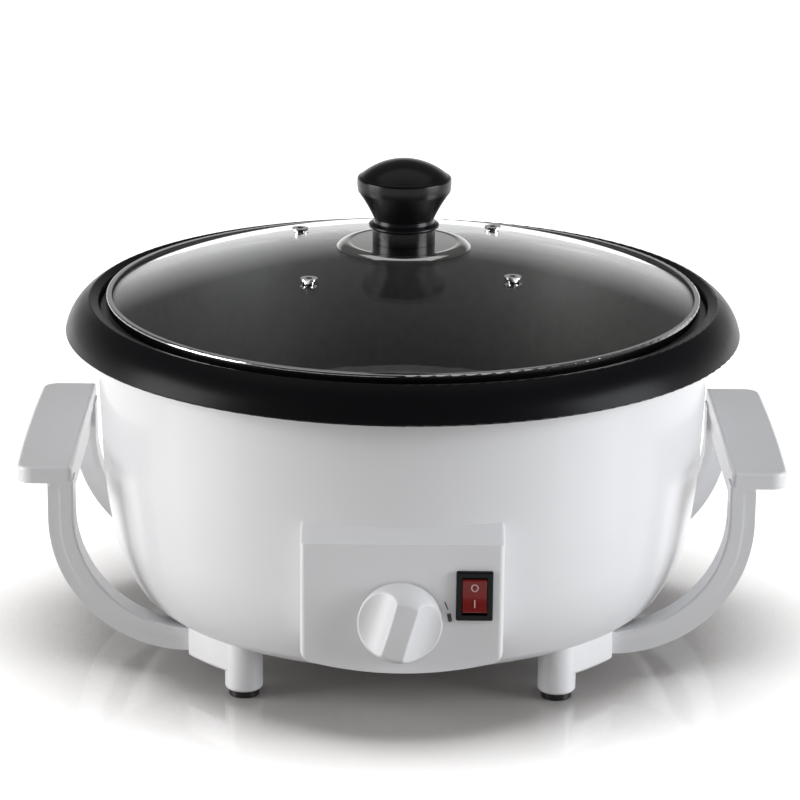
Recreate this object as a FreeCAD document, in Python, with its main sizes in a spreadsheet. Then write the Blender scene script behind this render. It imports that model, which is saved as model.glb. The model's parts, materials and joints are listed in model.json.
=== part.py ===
"""Home coffee bean roaster: a stirred, electrically heated pan in a moulded casing with a loose glass lid.

The origin is on the floor under the stirrer's axis. +Z is up, the control panel faces -Y, and the
grips are at -X and +X. Lengths are in millimetres.
"""
import FreeCAD, Part
import os
import re
import Sketcher
from FreeCAD import Placement, Rotation, Vector
from fcgear import fcgear, involute

SIZES = [
    # casing shell
    ("rim_low", 140.1, "underside of the rim, which the shell's top edge carries"),
    ("shell_top_radius", 134.2, "outside of the shell under the rim"),
    ("shoulder_radius", 131.6, "outside where the straight taper ends"),
    ("shoulder_level", 86.0, "height of that place"),
    ("belly_radius", 128.3, "outside where the wide curve meets the tight one"),
    ("belly_level", 56.0, "height of that place"),
    ("shell_foot_radius", 117.3, "outside of the shell's lower edge"),
    ("shell_foot_level", 27.5, "height of the shell's lower edge"),
    ("upper_bulge", 0.43, "how far the wide curve stands out of its chord"),
    ("lower_bulge", 1.65, "how far the tight curve stands out of its chord"),
    ("wall", 2.5, "wall of the moulded parts"),
    ("fit_gap", 0.2, "gap between moulded parts that plug together"),
    ("run_gap", 0.05, "radial gap of a shaft in its bearing"),
    ("free_gap", 0.5, "gap beside a moving part that is not a bearing"),
    # base cover, legs and feet
    ("base_level", 22.0, "underside of the base cover"),
    ("base_radius", 107.0, "flat underside's radius"),
    ("lip_bulge", 0.9, "how far the cover's lip stands out of its chord"),
    ("spigot_height", 4.0, "how far the cover reaches up inside the shell"),
    ("leg_place_x", 66.6, "leg centre from the middle, sideways"),
    ("leg_place_y", 82.0, "leg centre from the middle, front and back"),
    ("leg_radius", 8.1, "leg"),
    ("leg_round", 1.6, "rounding of the leg's lower edge"),
    ("foot_height", 3.0, "rubber below the leg"),
    ("foot_radius", 6.5, "rubber foot"),
    ("foot_stem_radius", 2.5, "stem of the rubber foot"),
    ("foot_stem_length", 7.0, "stem above the leg's lower face"),
    ("block_radius", 113.4, "round outer face of the handle block"),
    ("block_start", 4.4, "inner end of the block from the leg's middle"),
    ("block_low", 11.0, "underside of the handle block"),
    ("block_rise", 4.0, "top of the handle block above the cover's underside"),
    ("block_end_x", 91.0, "end face that the arm enters"),
    ("block_inner_y", 46.0, "inner face of the handle block"),
    # handles
    ("grip_inner_x", 140.4, "grip's edge towards the casing"),
    ("grip_outer_x", 164.3, "grip's outer edge at its corners"),
    ("grip_bow", 0.8, "how far the outer edge stands out in its middle"),
    ("grip_half", 62.7, "half the grip's length"),
    ("grip_top", 94.0, "top of the grip"),
    ("grip_thick", 7.0, "height of the grip's edge"),
    ("grip_corner", 7.0, "rounding of the outer corners, seen from above"),
    ("grip_inner_corner", 1.8, "rounding of the front inner corner, seen from above"),
    ("grip_round", 1.4, "rounding of the grip's upper edge"),
    ("arm_radius", 59.8, "outer curve of the arm"),
    ("arm_low", 11.5, "lowest line of the arm"),
    ("arm_inner_x", 88.1, "centre of the arm's inner curve, sideways"),
    ("arm_inner_level", 73.0, "height of that centre"),
    ("arm_inner_radius", 51.7, "inner curve of the arm"),
    ("arm_plate", 3.2, "arm's upright plate"),
    ("arm_flange", 3.0, "arm's flange along its inner curve"),
    ("arm_root", 6.0, "length of the solid root beside the block"),
    ("arm_depth", 12.0, "arm's width from front to back"),
    ("arm_round", 1.0, "rounding of the arm's long edges"),
    ("step_width", 5.4, "width of the step along the arm's outer edge"),
    ("step_depth", 0.6, "depth of that step"),
    ("web_low", 77.5, "lower edge of the web under the grip"),
    ("web_step", 0.9, "how far the web stands back from the grip's edge"),
    ("tenon_length", 19.0, "arm's tenon in its block"),
    ("tenon_side", 2.0, "tenon narrower than the arm on each side"),
    ("tenon_low", 14.4, "underside of the tenon"),
    ("tenon_high", 19.6, "top of the tenon"),
    # rim
    ("rim_top", 154.7, "crest of the rim"),
    ("rim_edge", 0.9, "rounding of the rim's lower edge"),
    ("rim_bulge", 1.6, "how far the rim's face stands out of its chord"),
    ("rim_mouth", 132.8, "radius of the opening that the lid drops into"),
    ("rim_land", 3.8, "from the mouth out to the rim's crest"),
    ("rim_dip", 1.2, "how far the rim falls from its crest to its mouth"),
    ("rim_ridge", 0.7, "half the width of the rounded crest"),
    ("rim_slope_width", 10.4, "rim's sloping face, seen from above"),
    ("ledge_level", 149.0, "ledge that carries the pan"),
    ("ledge_radius", 126.6, "inner edge of the ledge"),
    ("ledge_thick", 3.0, "ledge"),
    ("skirt_drop", 5.0, "how far the rim reaches down inside the shell"),
    # pan
    ("pan_sheet", 1.5, "pan's wall"),
    ("pan_flange_radius", 131.8, "pan's flange"),
    ("pan_mouth_radius", 124.0, "inside of the pan at its top"),
    ("pan_wall_radius", 114.5, "inside of the pan where its wall meets the corner"),
    ("pan_wall_level", 85.0, "height of that place"),
    ("pan_floor_radius", 96.0, "flat floor of the pan"),
    ("pan_floor", 62.5, "upper face of the floor"),
    ("pan_corner_bulge", 4.6, "how far the pan's corner stands out of its chord"),
    ("collar_radius", 8.5, "collar around the shaft"),
    ("collar_bore", 6.2, "hole in the collar"),
    ("collar_top", 72.0, "top of the collar"),
    # heater and shield
    ("element_ring_radius", 78.0, "centre line of the heating element"),
    ("element_radius", 3.25, "heating element's tube"),
    ("element_gap_angle", 16.0, "gap between the element's ends"),
    ("element_end_level", 37.0, "lower end of the element's tails"),
    ("pin_radius", 1.6, "terminal pin"),
    ("pin_length", 8.0, "terminal pin below the tail"),
    ("clip_sheet", 1.0, "element clip's sheet"),
    ("clip_width", 2.0, "element clip along the tube"),
    ("shield_sheet", 0.8, "heat shield's sheet"),
    ("shield_radius", 128.9, "heat shield at its top"),
    ("shield_waist_radius", 121.5, "heat shield where it turns in"),
    ("shield_waist_level", 80.0, "height of that place"),
    ("shield_floor_radius", 104.0, "heat shield's floor"),
    ("shield_floor", 47.0, "underside of the shield's floor"),
    ("post_ring_radius", 68.0, "posts that carry the shield, from the middle"),
    ("post_radius", 4.0, "post or screw boss"),
    # gear motor
    ("tray_left", -23.0, "gearbox tray"),
    ("tray_right", 90.0, "gearbox tray"),
    ("tray_half", 24.0, "half the tray's width"),
    ("tray_height", 17.0, "tray's walls"),
    ("tray_wall", 2.0, "tray's sheet and cover"),
    ("module_size", 1.0, "gear module"),
    ("wheel_teeth", 36, "output gear and idler wheel"),
    ("pinion_teeth", 12, "idler pinion and rotor pinion"),
    ("centre_slack", 0.16, "extra centre distance, which gives the backlash"),
    ("gear_low", 28.0, "underside of the lower gear pair"),
    ("gear_width", 4.6, "face width"),
    ("output_hub_wall", 1.6, "wall of the output gear's hub"),
    ("output_hub_rise", 5.0, "output gear's hub above its teeth"),
    ("pinion_rise", 0.3, "idler pinion wider than its wheel, on each side"),
    ("upper_gear_low", 33.6, "underside of the upper gear pair"),
    ("idler_pin_radius", 1.5, "idler's pin"),
    ("idler_hub_radius", 4.0, "idler's hub"),
    ("rotor_radius", 7.7, "rotor magnet"),
    ("rotor_pin_radius", 1.0, "rotor's spindle"),
    ("stator_bore", 8.3, "bore of the stator around the rotor"),
    ("stator_low", 27.0, "underside of the stator stack"),
    ("stack_height", 6.0, "stator stack"),
    ("stack_half", 15.5, "half the stator's width"),
    ("limb_width", 9.0, "stator limb that carries the coil"),
    ("coil_half", 10.5, "half the coil's length"),
    ("coil_build", 3.4, "thickness of the winding"),
    ("shaft_radius", 3.0, "stirrer shaft and dial shaft"),
    ("shaft_flat", 0.6, "depth of the flat that drives the hub"),
    ("shaft_low", 25.4, "lower end of the stirrer shaft"),
    ("shaft_top", 86.0, "upper end of the stirrer shaft"),
    ("bush_radius", 5.5, "bush in the gearbox cover"),
    ("seal_height", 2.0, "seal on top of the pan's collar"),
    # stirrer
    ("hub_radius", 12.5, "stirrer hub"),
    ("hub_low", 65.0, "lower edge of the stirrer hub"),
    ("hub_top", 92.0, "top of the stirrer hub"),
    ("paddle_reach", 92.0, "tip of a paddle from the axis"),
    ("paddle_low", 64.0, "underside of a paddle"),
    ("paddle_half", 5.0, "half a paddle's width"),
    ("paddle_sheet", 2.0, "paddle's sheet"),
    ("fin_height", 15.0, "upright fin of a paddle"),
    ("fin_start", 34.0, "inner end of the fin from the axis"),
    # control panel, dial and switch
    ("panel_half", 41.4, "half the panel's width"),
    ("panel_face", 137.0, "panel's face from the middle"),
    ("panel_top", 93.4, "upper edge of the bevel, on the casing"),
    ("panel_bevel_low", 87.3, "lower line of the bevel"),
    ("panel_low", 31.5, "lower edge of the face in the middle"),
    ("panel_corner", 4.0, "width of the lower corner's rounding"),
    ("panel_corner_rise", 4.7, "rise of the lower edge from its middle to that rounding"),
    ("panel_round", 2.2, "rounding of the face's upright edges"),
    ("panel_wall", 2.2, "panel's wall"),
    ("panel_side", 3.0, "panel's side walls"),
    ("window_left", -22.0, "window in the shell behind the panel"),
    ("window_right", 38.0, "window in the shell behind the panel"),
    ("window_low", 38.0, "window in the shell behind the panel"),
    ("window_high", 79.0, "window in the shell behind the panel"),
    ("dial_x", -0.8, "dial's axis"),
    ("dial_level", 54.0, "dial's axis"),
    ("dial_radius", 17.4, "dial's skirt"),
    ("dial_skirt", 1.2, "edge of the dial's skirt"),
    ("dial_height", 13.0, "dial from the panel gap to its crown"),
    ("dial_gap", 0.7, "gap between dial and panel"),
    ("dial_bar", 4.6, "half the width of the dial's grip bar"),
    ("dial_scoop", 16.0, "radius of the hollow beside the grip bar"),
    ("crown_flat", 0.8, "flat in the middle of a domed knob"),
    ("dial_lean", 16.0, "lean of the grip bar in the off position"),
    ("thermostat_radius", 14.0, "thermostat's body"),
    ("thermostat_length", 14.0, "thermostat's body behind the panel"),
    ("switch_x", 29.4, "switch's centre"),
    ("switch_level", 65.8, "switch's centre"),
    ("bezel_width", 15.0, "switch bezel, a standard size"),
    ("bezel_height", 21.0, "switch bezel, a standard size"),
    ("bezel_proud", 2.0, "bezel in front of the panel"),
    ("switch_depth", 17.0, "switch body behind the panel's face"),
    ("switch_neck", 1.0, "body narrower than the bezel on each side"),
    ("rocker_width", 9.8, "rocker"),
    ("rocker_height", 13.6, "rocker"),
    ("rocker_reach", 7.9, "rocker's edge in front of its pivot"),
    ("rocker_dip", 1.5, "hollow in the middle of the rocker's face"),
    ("rocker_pivot", 133.4, "rocker's pivot from the middle"),
    ("rocker_pin_radius", 1.2, "rocker's pivot pins"),
    ("rocker_room", 1.3, "room above and below the rocker for its swing"),
    ("rocker_throw", 12.0, "rocker's whole swing in degrees"),
    # lid
    ("glass_apex", 177.5, "top of the glass in the middle"),
    ("glass_edge", 154.7, "top of the glass at its edge"),
    ("glass_radius", 127.6, "edge of the glass"),
    ("glass_bulge", 5.4, "how far the dome stands above its chord"),
    ("glass_thick", 3.2, "glass"),
    ("lid_hole", 3.0, "hole for the knob's screw"),
    ("ring_radius", 129.4, "outside of the steel ring"),
    ("ring_top", 156.4, "top of the steel ring"),
    ("seat_gap", 0.1, "gap under a part that only rests on another"),
    ("ring_sheet", 0.7, "steel ring's sheet"),
    ("ring_lip", 2.5, "ring's lips over and under the glass"),
    ("ring_round", 0.9, "rounding of the ring's outer edge"),
    ("vent_ring_radius", 61.1, "vents from the middle"),
    ("vent_first_angle", 49.0, "direction of the first vent"),
    ("vent_radius", 3.65, "vent grommet's flange"),
    ("vent_barrel", 2.5, "vent grommet's barrel"),
    ("vent_bore", 1.4, "vent"),
    ("cup_radius", 29.1, "steel cup under the knob"),
    ("cup_thick", 1.0, "steel cup"),
    ("knob_radius", 20.4, "lid knob"),
    ("knob_side", 5.2, "knob's upright edge"),
    ("knob_waist_radius", 13.0, "waist of the lid knob"),
    ("knob_flare", 12.2, "flare from the waist up to the knob's edge"),
    ("knob_collar_radius", 15.1, "collar of the lid knob"),
    ("knob_foot", 7.4, "middle of the collar above the cup"),
    ("knob_waist_rise", 3.0, "waist above the collar's middle"),
    ("knob_crown", 8.5, "crown above the knob's edge"),
    ("knob_neck_radius", 13.6, "knob's foot"),
    ("lid_screw_radius", 2.0, "screw that holds the lid knob"),
    ("lid_screw_length", 14.0, "screw in the knob"),
    ("lid_seal_radius", 12.0, "silicone washer under the glass"),
    # cable gland
    ("gland_level", 42.0, "cable gland's axis"),
    ("gland_pad", 12.0, "pad in the shell that the gland and its nut clamp"),
    ("gland_flange", 9.0, "gland's flange and nut"),
    ("gland_barrel", 6.0, "gland's barrel"),
    ("gland_bore", 3.6, "hole for a cable"),
    ("gland_clearance", 7.0, "gland's inner end from the shield's floor"),
    ("nut_height", 3.4, "gland's nut"),
    ("nut_clearance", 8.2, "nut from the shield's floor"),
    ("gland_proud", 3.6, "flange's height"),
    # screws
    ("screw_radius", 1.5, "screw shank"),
    ("screw_head_radius", 3.0, "screw head"),
    ("screw_head_height", 1.8, "screw head"),
    ("base_screw_ring", 97.0, "base screws from the middle"),
    ("base_screw_turn", 20.0, "direction of the first base screw"),
    ("boss_height", 22.0, "screw boss in the shell"),
    ("slot_pitch", 9.0, "ventilation slots in the base cover, one from the next"),
    ("slot_half", 1.5, "half a slot's width"),
    ("slot_inner", 40.0, "slot's inner end from the middle"),
    ("slot_front", 72.0, "front slots' outer end"),
    ("slot_rear", 66.0, "rear slots' outer end"),
    ("block_x", -67.0, "terminal block's middle"),
    ("block_half_length", 15.0, "terminal block"),
    ("block_half_width", 8.0, "terminal block"),
    ("block_height", 13.0, "terminal block"),
    ("block_pitch", 10.0, "wire holes, one from the next"),
    ("block_bore", 1.8, "wire hole"),
    ("fuse_radius", 2.0, "thermal fuse"),
    ("fuse_length", 12.0, "thermal fuse"),
    ("fuse_x", -24.0, "thermal fuse's middle"),
    ("fuse_y", 44.0, "thermal fuse's middle"),
    ("fuse_drop", 3.2, "thermal fuse below the shield"),
    ("seat_start", 8.0, "first stator seat, left of the rotor"),
    ("seat_end", 18.0, "second stator seat, right of the rotor"),
    ("seat_length", 4.0, "stator seat"),
    ("seat_width", 5.0, "stator seat"),
    ("lid_seal_thick", 1.5, "silicone washer"),
    ("bush_height", 5.0, "bush in the gearbox cover"),
]

DOC = FreeCAD.newDocument("CoffeeRoaster")
SHEET = DOC.addObject("Spreadsheet::Sheet", "Sizes")
for line, (alias, size, meaning) in enumerate(SIZES, start=1):
    SHEET.set("A%d" % line, alias)
    SHEET.set("B%d" % line, str(size))
    SHEET.set("C%d" % line, meaning)
    SHEET.setAlias("B%d" % line, alias)
DOC.recompute()

ALIASES = {alias for alias, size, meaning in SIZES}
AXES = {
    "X": Rotation(Vector(0, 1, 0), 90),
    "Y": Rotation(Vector(1, 0, 0), -90),
    "Z": Rotation(),
}
PIECES = {}


# ---------------------------------------------------------------- helpers

def value(text):
    """The number that an expression in the sheet's names has now."""
    return float(SHEET.evalExpression(text))


def linked(text):
    """The same expression as an object outside the sheet writes it."""
    return re.sub(r"[a-z]\w*", lambda m: "Sizes." + m[0] if m[0] in ALIASES else m[0], text)


def bind(item, prop, text):
    item.setExpression(prop, linked(text))


def place(item, x="0", y="0", z="0", rotation=None):
    spot = Vector(value(x), value(y), value(z))
    item.Placement = Placement(spot, rotation or Rotation())
    for axis, text in zip("xyz", (x, y, z)):
        if text != "0":
            bind(item, "Placement.Base." + axis, text)
    return item


def cylinder(name, radius, length, x="0", y="0", z="0", axis="Z"):
    item = DOC.addObject("Part::Cylinder", name)
    bind(item, "Radius", radius)
    bind(item, "Height", length)
    return place(item, x, y, z, AXES[axis])


def box(name, x0, x1, y0, y1, z0, z1):
    item = DOC.addObject("Part::Box", name)
    for prop, low, high in (("Length", x0, x1), ("Width", y0, y1), ("Height", z0, z1)):
        bind(item, prop, "(%s) - (%s)" % (high, low))
    return place(item, x0, y0, z0)


def fuse(name, *items):
    item = DOC.addObject("Part::MultiFuse", name)
    item.Shapes = list(items)
    return item


def common(name, *items):
    item = DOC.addObject("Part::MultiCommon", name)
    item.Shapes = list(items)
    return item


def cut(name, base, *tools):
    item = DOC.addObject("Part::Cut", name)
    item.Base = base
    item.Tool = tools[0] if len(tools) == 1 else fuse(name + "Tools", *tools)
    return item


def group(name, items):
    item = DOC.addObject("Part::Compound", name)
    item.Links = list(items)
    return item


def mirrored(name, source, normal=(1, 0, 0)):
    item = DOC.addObject("Part::Mirroring", name)
    item.Source = source
    item.Normal = Vector(*normal)
    return item


def rounded(name, base, radius, chosen):
    """Fillets the edges of base for which chosen(edge) holds."""
    DOC.recompute()
    item = DOC.addObject("Part::Fillet", name)
    item.Base = base
    size = value(radius)
    edges = enumerate(base.Shape.Edges, start=1)
    item.Edges = [(number, size, size) for number, edge in edges if chosen(edge)]
    return item


def spans(edge, axis):
    """How far an edge reaches along an axis."""
    return getattr(edge.BoundBox, axis.upper() + "Length")


def at_level(edge, axis, level):
    """True where the whole edge lies at one coordinate."""
    low = getattr(edge.BoundBox, axis.upper() + "Min")
    return spans(edge, axis) < 0.01 and abs(low - level) < 0.01


def draw(body, plane, outline):
    """A closed sketch whose corners are bound to the sheet.

    An outline is a list of corners (across, up), with an item ("arc", across, up) between two
    corners that a circular arc through that point joins.
    """
    sketch = body.newObject("Sketcher::SketchObject", body.Name + "Sketch")
    sketch.AttachmentSupport = [(part, "") for part in body.Origin.OriginFeatures if part.Role == plane]
    sketch.MapMode = "FlatFace"
    corners = [item for item in outline if item[0] != "arc"]
    through = {}
    for item in outline:
        if item[0] == "arc":
            through[place_before] = item[1:]
        else:
            place_before = corners.index(item)
    spots = [Vector(value(a), value(b), 0) for a, b in corners]
    starts = []
    ends = []
    for index, spot in enumerate(spots):
        following = spots[(index + 1) % len(spots)]
        if index in through:
            middle = Vector(value(through[index][0]), value(through[index][1]), 0)
            anticlockwise = (middle - spot).cross(following - middle).z > 0
            first = 1 if anticlockwise else 2
            run = (spot, middle, following) if anticlockwise else (following, middle, spot)
            edge = sketch.addGeometry(Part.Arc(*run), False)
            dot = sketch.addGeometry(Part.Point(middle), True)
            sketch.addConstraint(Sketcher.Constraint("PointOnObject", dot, 1, edge))
            pin_down(sketch, dot, 1, through[index], middle)
        else:
            edge = sketch.addGeometry(Part.LineSegment(spot, following), False)
            first = 1
        starts.append((edge, first))
        ends.append((edge, 3 - first))
    for index, corner in enumerate(corners):
        sketch.addConstraint(Sketcher.Constraint("Coincident", *ends[index - 1], *starts[index]))
        pin_down(sketch, *starts[index], corner, spots[index])
    return sketch


def pin_down(sketch, geometry, point, corner, spot):
    """Ties one sketch point to two expressions."""
    across = ("DistanceX", -2, corner[0], spot.x)
    up = ("DistanceY", -1, corner[1], spot.y)
    for kind, axis, text, size in (across, up):
        if text == "0":
            sketch.addConstraint(Sketcher.Constraint("PointOnObject", geometry, point, axis))
        else:
            row = sketch.addConstraint(Sketcher.Constraint(kind, -1, 1, geometry, point, size))
            bind(sketch, "Constraints[%d]" % row, text)


def revolved(name, outline):
    """A body turned about the Z axis from an outline of (radius, height)."""
    body = DOC.addObject("PartDesign::Body", name)
    turn = body.newObject("PartDesign::Revolution", name + "Turn")
    turn.Profile = draw(body, "XZ_Plane", outline)
    turn.ReferenceAxis = (turn.Profile[0], ["V_Axis"])
    turn.Angle = 360
    body.Tip = turn
    return body


def padded(name, plane, outline, length, x="0", y="0", z="0", rotation=None):
    """A body pushed out of an outline towards +X, +Y or +Z, whichever is square to the plane."""
    body = DOC.addObject("PartDesign::Body", name)
    pad = body.newObject("PartDesign::Pad", name + "Pad")
    pad.Profile = draw(body, plane, outline)
    bind(pad, "Length", length)
    pad.Reversed = plane == "XZ_Plane"
    body.Tip = pad
    return place(body, x, y, z, rotation)


def radial_plate(name, inner, outer, low, high, thick, turn):
    """An upright plate between two radii, in one direction from the middle."""
    corners = [(inner, low), (outer, low), (outer, high), (inner, high)]
    plate = padded(name, "XZ_Plane", corners, thick, rotation=Rotation(Vector(0, 0, 1), value(turn)))
    plate.Tip.SideType = "Symmetric"
    bind(plate, "Placement.Rotation.Angle", turn)
    return plate


def piece(name, item):
    """Names the object that holds a finished sub-part."""
    item.Label = name
    PIECES[name] = item
    return item


def screw(name, x, y, z, length, axis="Z", head_below=False):
    """A pan head screw; z is where the head seats, and the shank runs on from there."""
    shank = cylinder(name + "Shank", "screw_radius", length, x, y, z, axis)
    head_at = z + " - screw_head_height" if head_below else z + " + " + length
    head = cylinder(name + "Head", "screw_head_radius", "screw_head_height", x, y, head_at, axis)
    return fuse(name, shank, head)


def quarters(radius, first="0"):
    """Four places on a circle, as pairs of expressions; first is the direction of one of them."""
    turns = ["(%s + %d)" % (first, 90 * step) for step in range(4)]
    return [("%s * cos(%s)" % (radius, a), "%s * sin(%s)" % (radius, a)) for a in turns]


SIDES = [
    ("Front", "Left", -1, -1),
    ("Front", "Right", 1, -1),
    ("Rear", "Right", 1, 1),
    ("Rear", "Left", -1, 1),
]


# ---------------------------------------------------------------- casing

GLAND_SEAT = "(shield_floor_radius + nut_clearance + nut_height)"
GLAND_FACE = "(%s + gland_pad)" % GLAND_SEAT


def casing_curve(inset):
    """The casing's side from the rim down to its foot, as drawn outside or inside."""
    upper = "(shoulder_radius + belly_radius) / 2 + upper_bulge" + inset
    lower = "(belly_radius + shell_foot_radius) / 2 + lower_bulge" + inset
    return [
        ("shell_top_radius" + inset, "rim_low"),
        ("shoulder_radius" + inset, "shoulder_level"),
        ("arc", upper, "(shoulder_level + belly_level) / 2"),
        ("belly_radius" + inset, "belly_level"),
        ("arc", lower, "(belly_level + shell_foot_level) / 2"),
        ("shell_foot_radius" + inset, "shell_foot_level"),
    ]


def casing_solid(name, inset=""):
    return revolved(name, [("0", "rim_low")] + casing_curve(inset) + [("0", "shell_foot_level")])


def body_shell():
    skin = revolved("ShellSkin", casing_curve("") + casing_curve(" - wall")[::-1])
    bosses = []
    for index, (x, y) in enumerate(quarters("base_screw_ring", "base_screw_turn")):
        foot = "base_level + wall"
        bosses.append(cylinder("ShellBoss%d" % index, "post_radius", "boss_height", x, y, foot))
    bosses += [
        radial_plate("ShellRib%d" % step, "base_screw_ring + screw_radius + 1", "shell_top_radius",
                     "shell_foot_level + spigot_height + fit_gap", "base_level + wall + boss_height",
                     "wall", "base_screw_turn + %d" % (90 * step))
        for step in range(4)
    ]
    bosses += [
        cylinder("ShellSpot%d" % index, "screw_head_radius + 1.5",
                 "shell_top_radius + (%s)" % panel_screw_seat(x), x, "-shell_top_radius", z, "Y")
        for index, (x, z) in enumerate(PANEL_SCREWS)
    ]
    inside = common("ShellBosses", fuse("ShellBossSet", *bosses), casing_solid("ShellBowl", " - wall / 2"))
    low_bosses = fuse("ShellBossFeet", *[
        cylinder("ShellBossFoot%d" % index, "post_radius", "shell_foot_level - base_level - wall + 1", x, y,
                 "base_level + wall")
        for index, (x, y) in enumerate(quarters("base_screw_ring", "base_screw_turn"))
    ])
    pad = cylinder("ShellGlandPad", "gland_flange + 1.4", "gland_pad", "0", GLAND_SEAT, "gland_level", "Y")
    whole = fuse("ShellWhole", skin, inside, low_bosses, pad)
    window = box("ShellWindow", "window_left", "window_right", "-shell_top_radius - 10",
                 "-base_radius", "window_low", "window_high")
    hole = cylinder("ShellGlandHole", "gland_barrel + 0.1", "gland_pad * 3", "0",
                    GLAND_SEAT + " - gland_pad", "gland_level", "Y")
    drills = [
        cylinder("ShellPilot%d" % index, "screw_radius", "boss_height - 2", x, y, "base_level + wall - 1")
        for index, (x, y) in enumerate(quarters("base_screw_ring", "base_screw_turn"))
    ]
    panel_drills = [
        cylinder("ShellPanelHole%d" % index, "screw_radius + 0.2", "30", x, "-panel_face - 5", z, "Y")
        for index, (x, z) in enumerate(PANEL_SCREWS)
    ]
    return cut("BodyShell", whole, window, hole, *drills, *panel_drills)


def base_cover():
    lip_foot = "shell_foot_radius - 0.4"
    dish = revolved("CoverDish", [
        ("0", "base_level"),
        ("base_radius", "base_level"),
        ("arc", "(base_radius + shell_foot_radius) / 2 + lip_bulge",
         "(base_level + shell_foot_level) / 2 - lip_bulge"),
        (lip_foot, "shell_foot_level"),
        ("shell_foot_radius - wall - fit_gap", "shell_foot_level"),
        ("shell_foot_radius - wall - fit_gap", "shell_foot_level + spigot_height"),
        ("shell_foot_radius - wall * 2 - fit_gap", "shell_foot_level + spigot_height"),
        ("shell_foot_radius - wall * 2 - fit_gap", "shell_foot_level + 0.6"),
        ("base_radius - wall", "base_level + wall"),
        ("0", "base_level + wall"),
    ])
    adds = [dish]
    takes = []
    for end, side, sx, sy in SIDES:
        tag = end + side
        x, y = "%d * leg_place_x" % sx, "%d * leg_place_y" % sy
        leg = cylinder("Leg" + tag, "leg_radius", "base_level + wall - foot_height", x, y, "foot_height")
        foot = value("foot_height")
        adds.append(rounded("LegRound" + tag, leg, "leg_round", lambda e: at_level(e, "z", foot)))
        adds.append(handle_block(tag, sx, sy))
        takes.append(cylinder("FootHole" + tag, "foot_stem_radius + 0.05", "foot_stem_length",
                              x, y, "foot_height"))
        takes.append(tenon_box("Mortise" + tag, sx, sy, "fit_gap"))
        hx, hy = handle_screw_place(sx, sy)
        takes.append(cylinder("HandleDrill" + tag, "screw_radius + 0.1", "10", hx, hy, "block_low - 1"))
        takes.append(cylinder("HandleSink" + tag, "screw_head_radius + 0.2", "screw_head_height",
                              hx, hy, "block_low"))
    for index, (x, y) in enumerate(quarters("post_ring_radius", "45")):
        adds.append(cylinder("ShieldPost%d" % index, "post_radius", "shield_floor - base_level",
                             x, y, "base_level"))
        takes.append(cylinder("ShieldPilot%d" % index, "screw_radius", "12", x, y, "shield_floor - 11"))
    for index, (x, y) in enumerate(quarters("base_screw_ring", "base_screw_turn")):
        takes.append(cylinder("BaseDrill%d" % index, "screw_radius + 0.1", "10", x, y, "base_level - 1"))
    for index, (x, y) in enumerate(TRAY_SCREWS):
        takes.append(cylinder("TrayPilot%d" % index, "screw_radius", "10", x, y, "base_level - 1"))
    for index in range(-3, 4):
        left, right = "%d * slot_pitch - slot_half" % index, "%d * slot_pitch + slot_half" % index
        takes.append(box("VentSlotFront%d" % (index + 3), left, right, "-slot_front", "-slot_inner",
                         "base_level - 1", "base_level + wall + 1"))
        takes.append(box("VentSlotRear%d" % (index + 3), left, right, "slot_inner", "slot_rear",
                         "base_level - 1", "base_level + wall + 1"))
    return cut("BaseCover", fuse("CoverWhole", *adds), *takes)


def handle_block(tag, sx, sy):
    """The block that a handle's arm plugs into; its round face runs on from the leg's side."""
    xs = ("leg_place_x + block_start", "block_end_x")
    ys = ("block_inner_y", "block_radius")
    xs = xs if sx > 0 else ("-(%s)" % xs[1], "-(%s)" % xs[0])
    ys = ys if sy > 0 else ("-" + ys[1], "-" + ys[0])
    raw = box("BlockBox" + tag, *xs, *ys, "block_low", "base_level + block_rise")
    drum = cylinder("BlockDrum" + tag, "block_radius", "base_level + block_rise - block_low", z="block_low")
    low, inner = value("block_low"), value("block_inner_y")
    end = sx * value("block_end_x")
    block = common("Block" + tag, drum, raw)

    def soft(edge):
        upright = at_level(edge, "x", end) and spans(edge, "y") < 0.01
        outer = abs(edge.CenterOfMass.y) > inner + 1
        return at_level(edge, "z", low) or (upright and outer)

    return rounded("BlockRound" + tag, block, "leg_round", soft)


def tenon_box(name, sx, sy, gap):
    """The arm's end inside its block, or with a gap the pocket for it."""
    x0, x1 = "block_end_x - tenon_length - %s" % gap, "block_end_x + 0.5"
    y0 = "grip_half - arm_depth + tenon_side - %s" % gap
    y1 = "grip_half - tenon_side + %s" % gap
    xs = (x0, x1) if sx > 0 else ("-(%s)" % x1, "-(%s)" % x0)
    ys = (y0, y1) if sy > 0 else ("-(%s)" % y1, "-(%s)" % y0)
    return box(name, *xs, *ys, "tenon_low - %s" % gap, "tenon_high + %s" % gap)


def handle_screw_place(sx, sy):
    x = "%d * (block_end_x - tenon_length / 2)" % sx
    y = "%d * (grip_half - arm_depth / 2)" % sy
    return x, y


RIM_CREST = "(rim_mouth + rim_land)"
RIM_RADIUS = "(rim_mouth + rim_land + rim_slope_width)"


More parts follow.
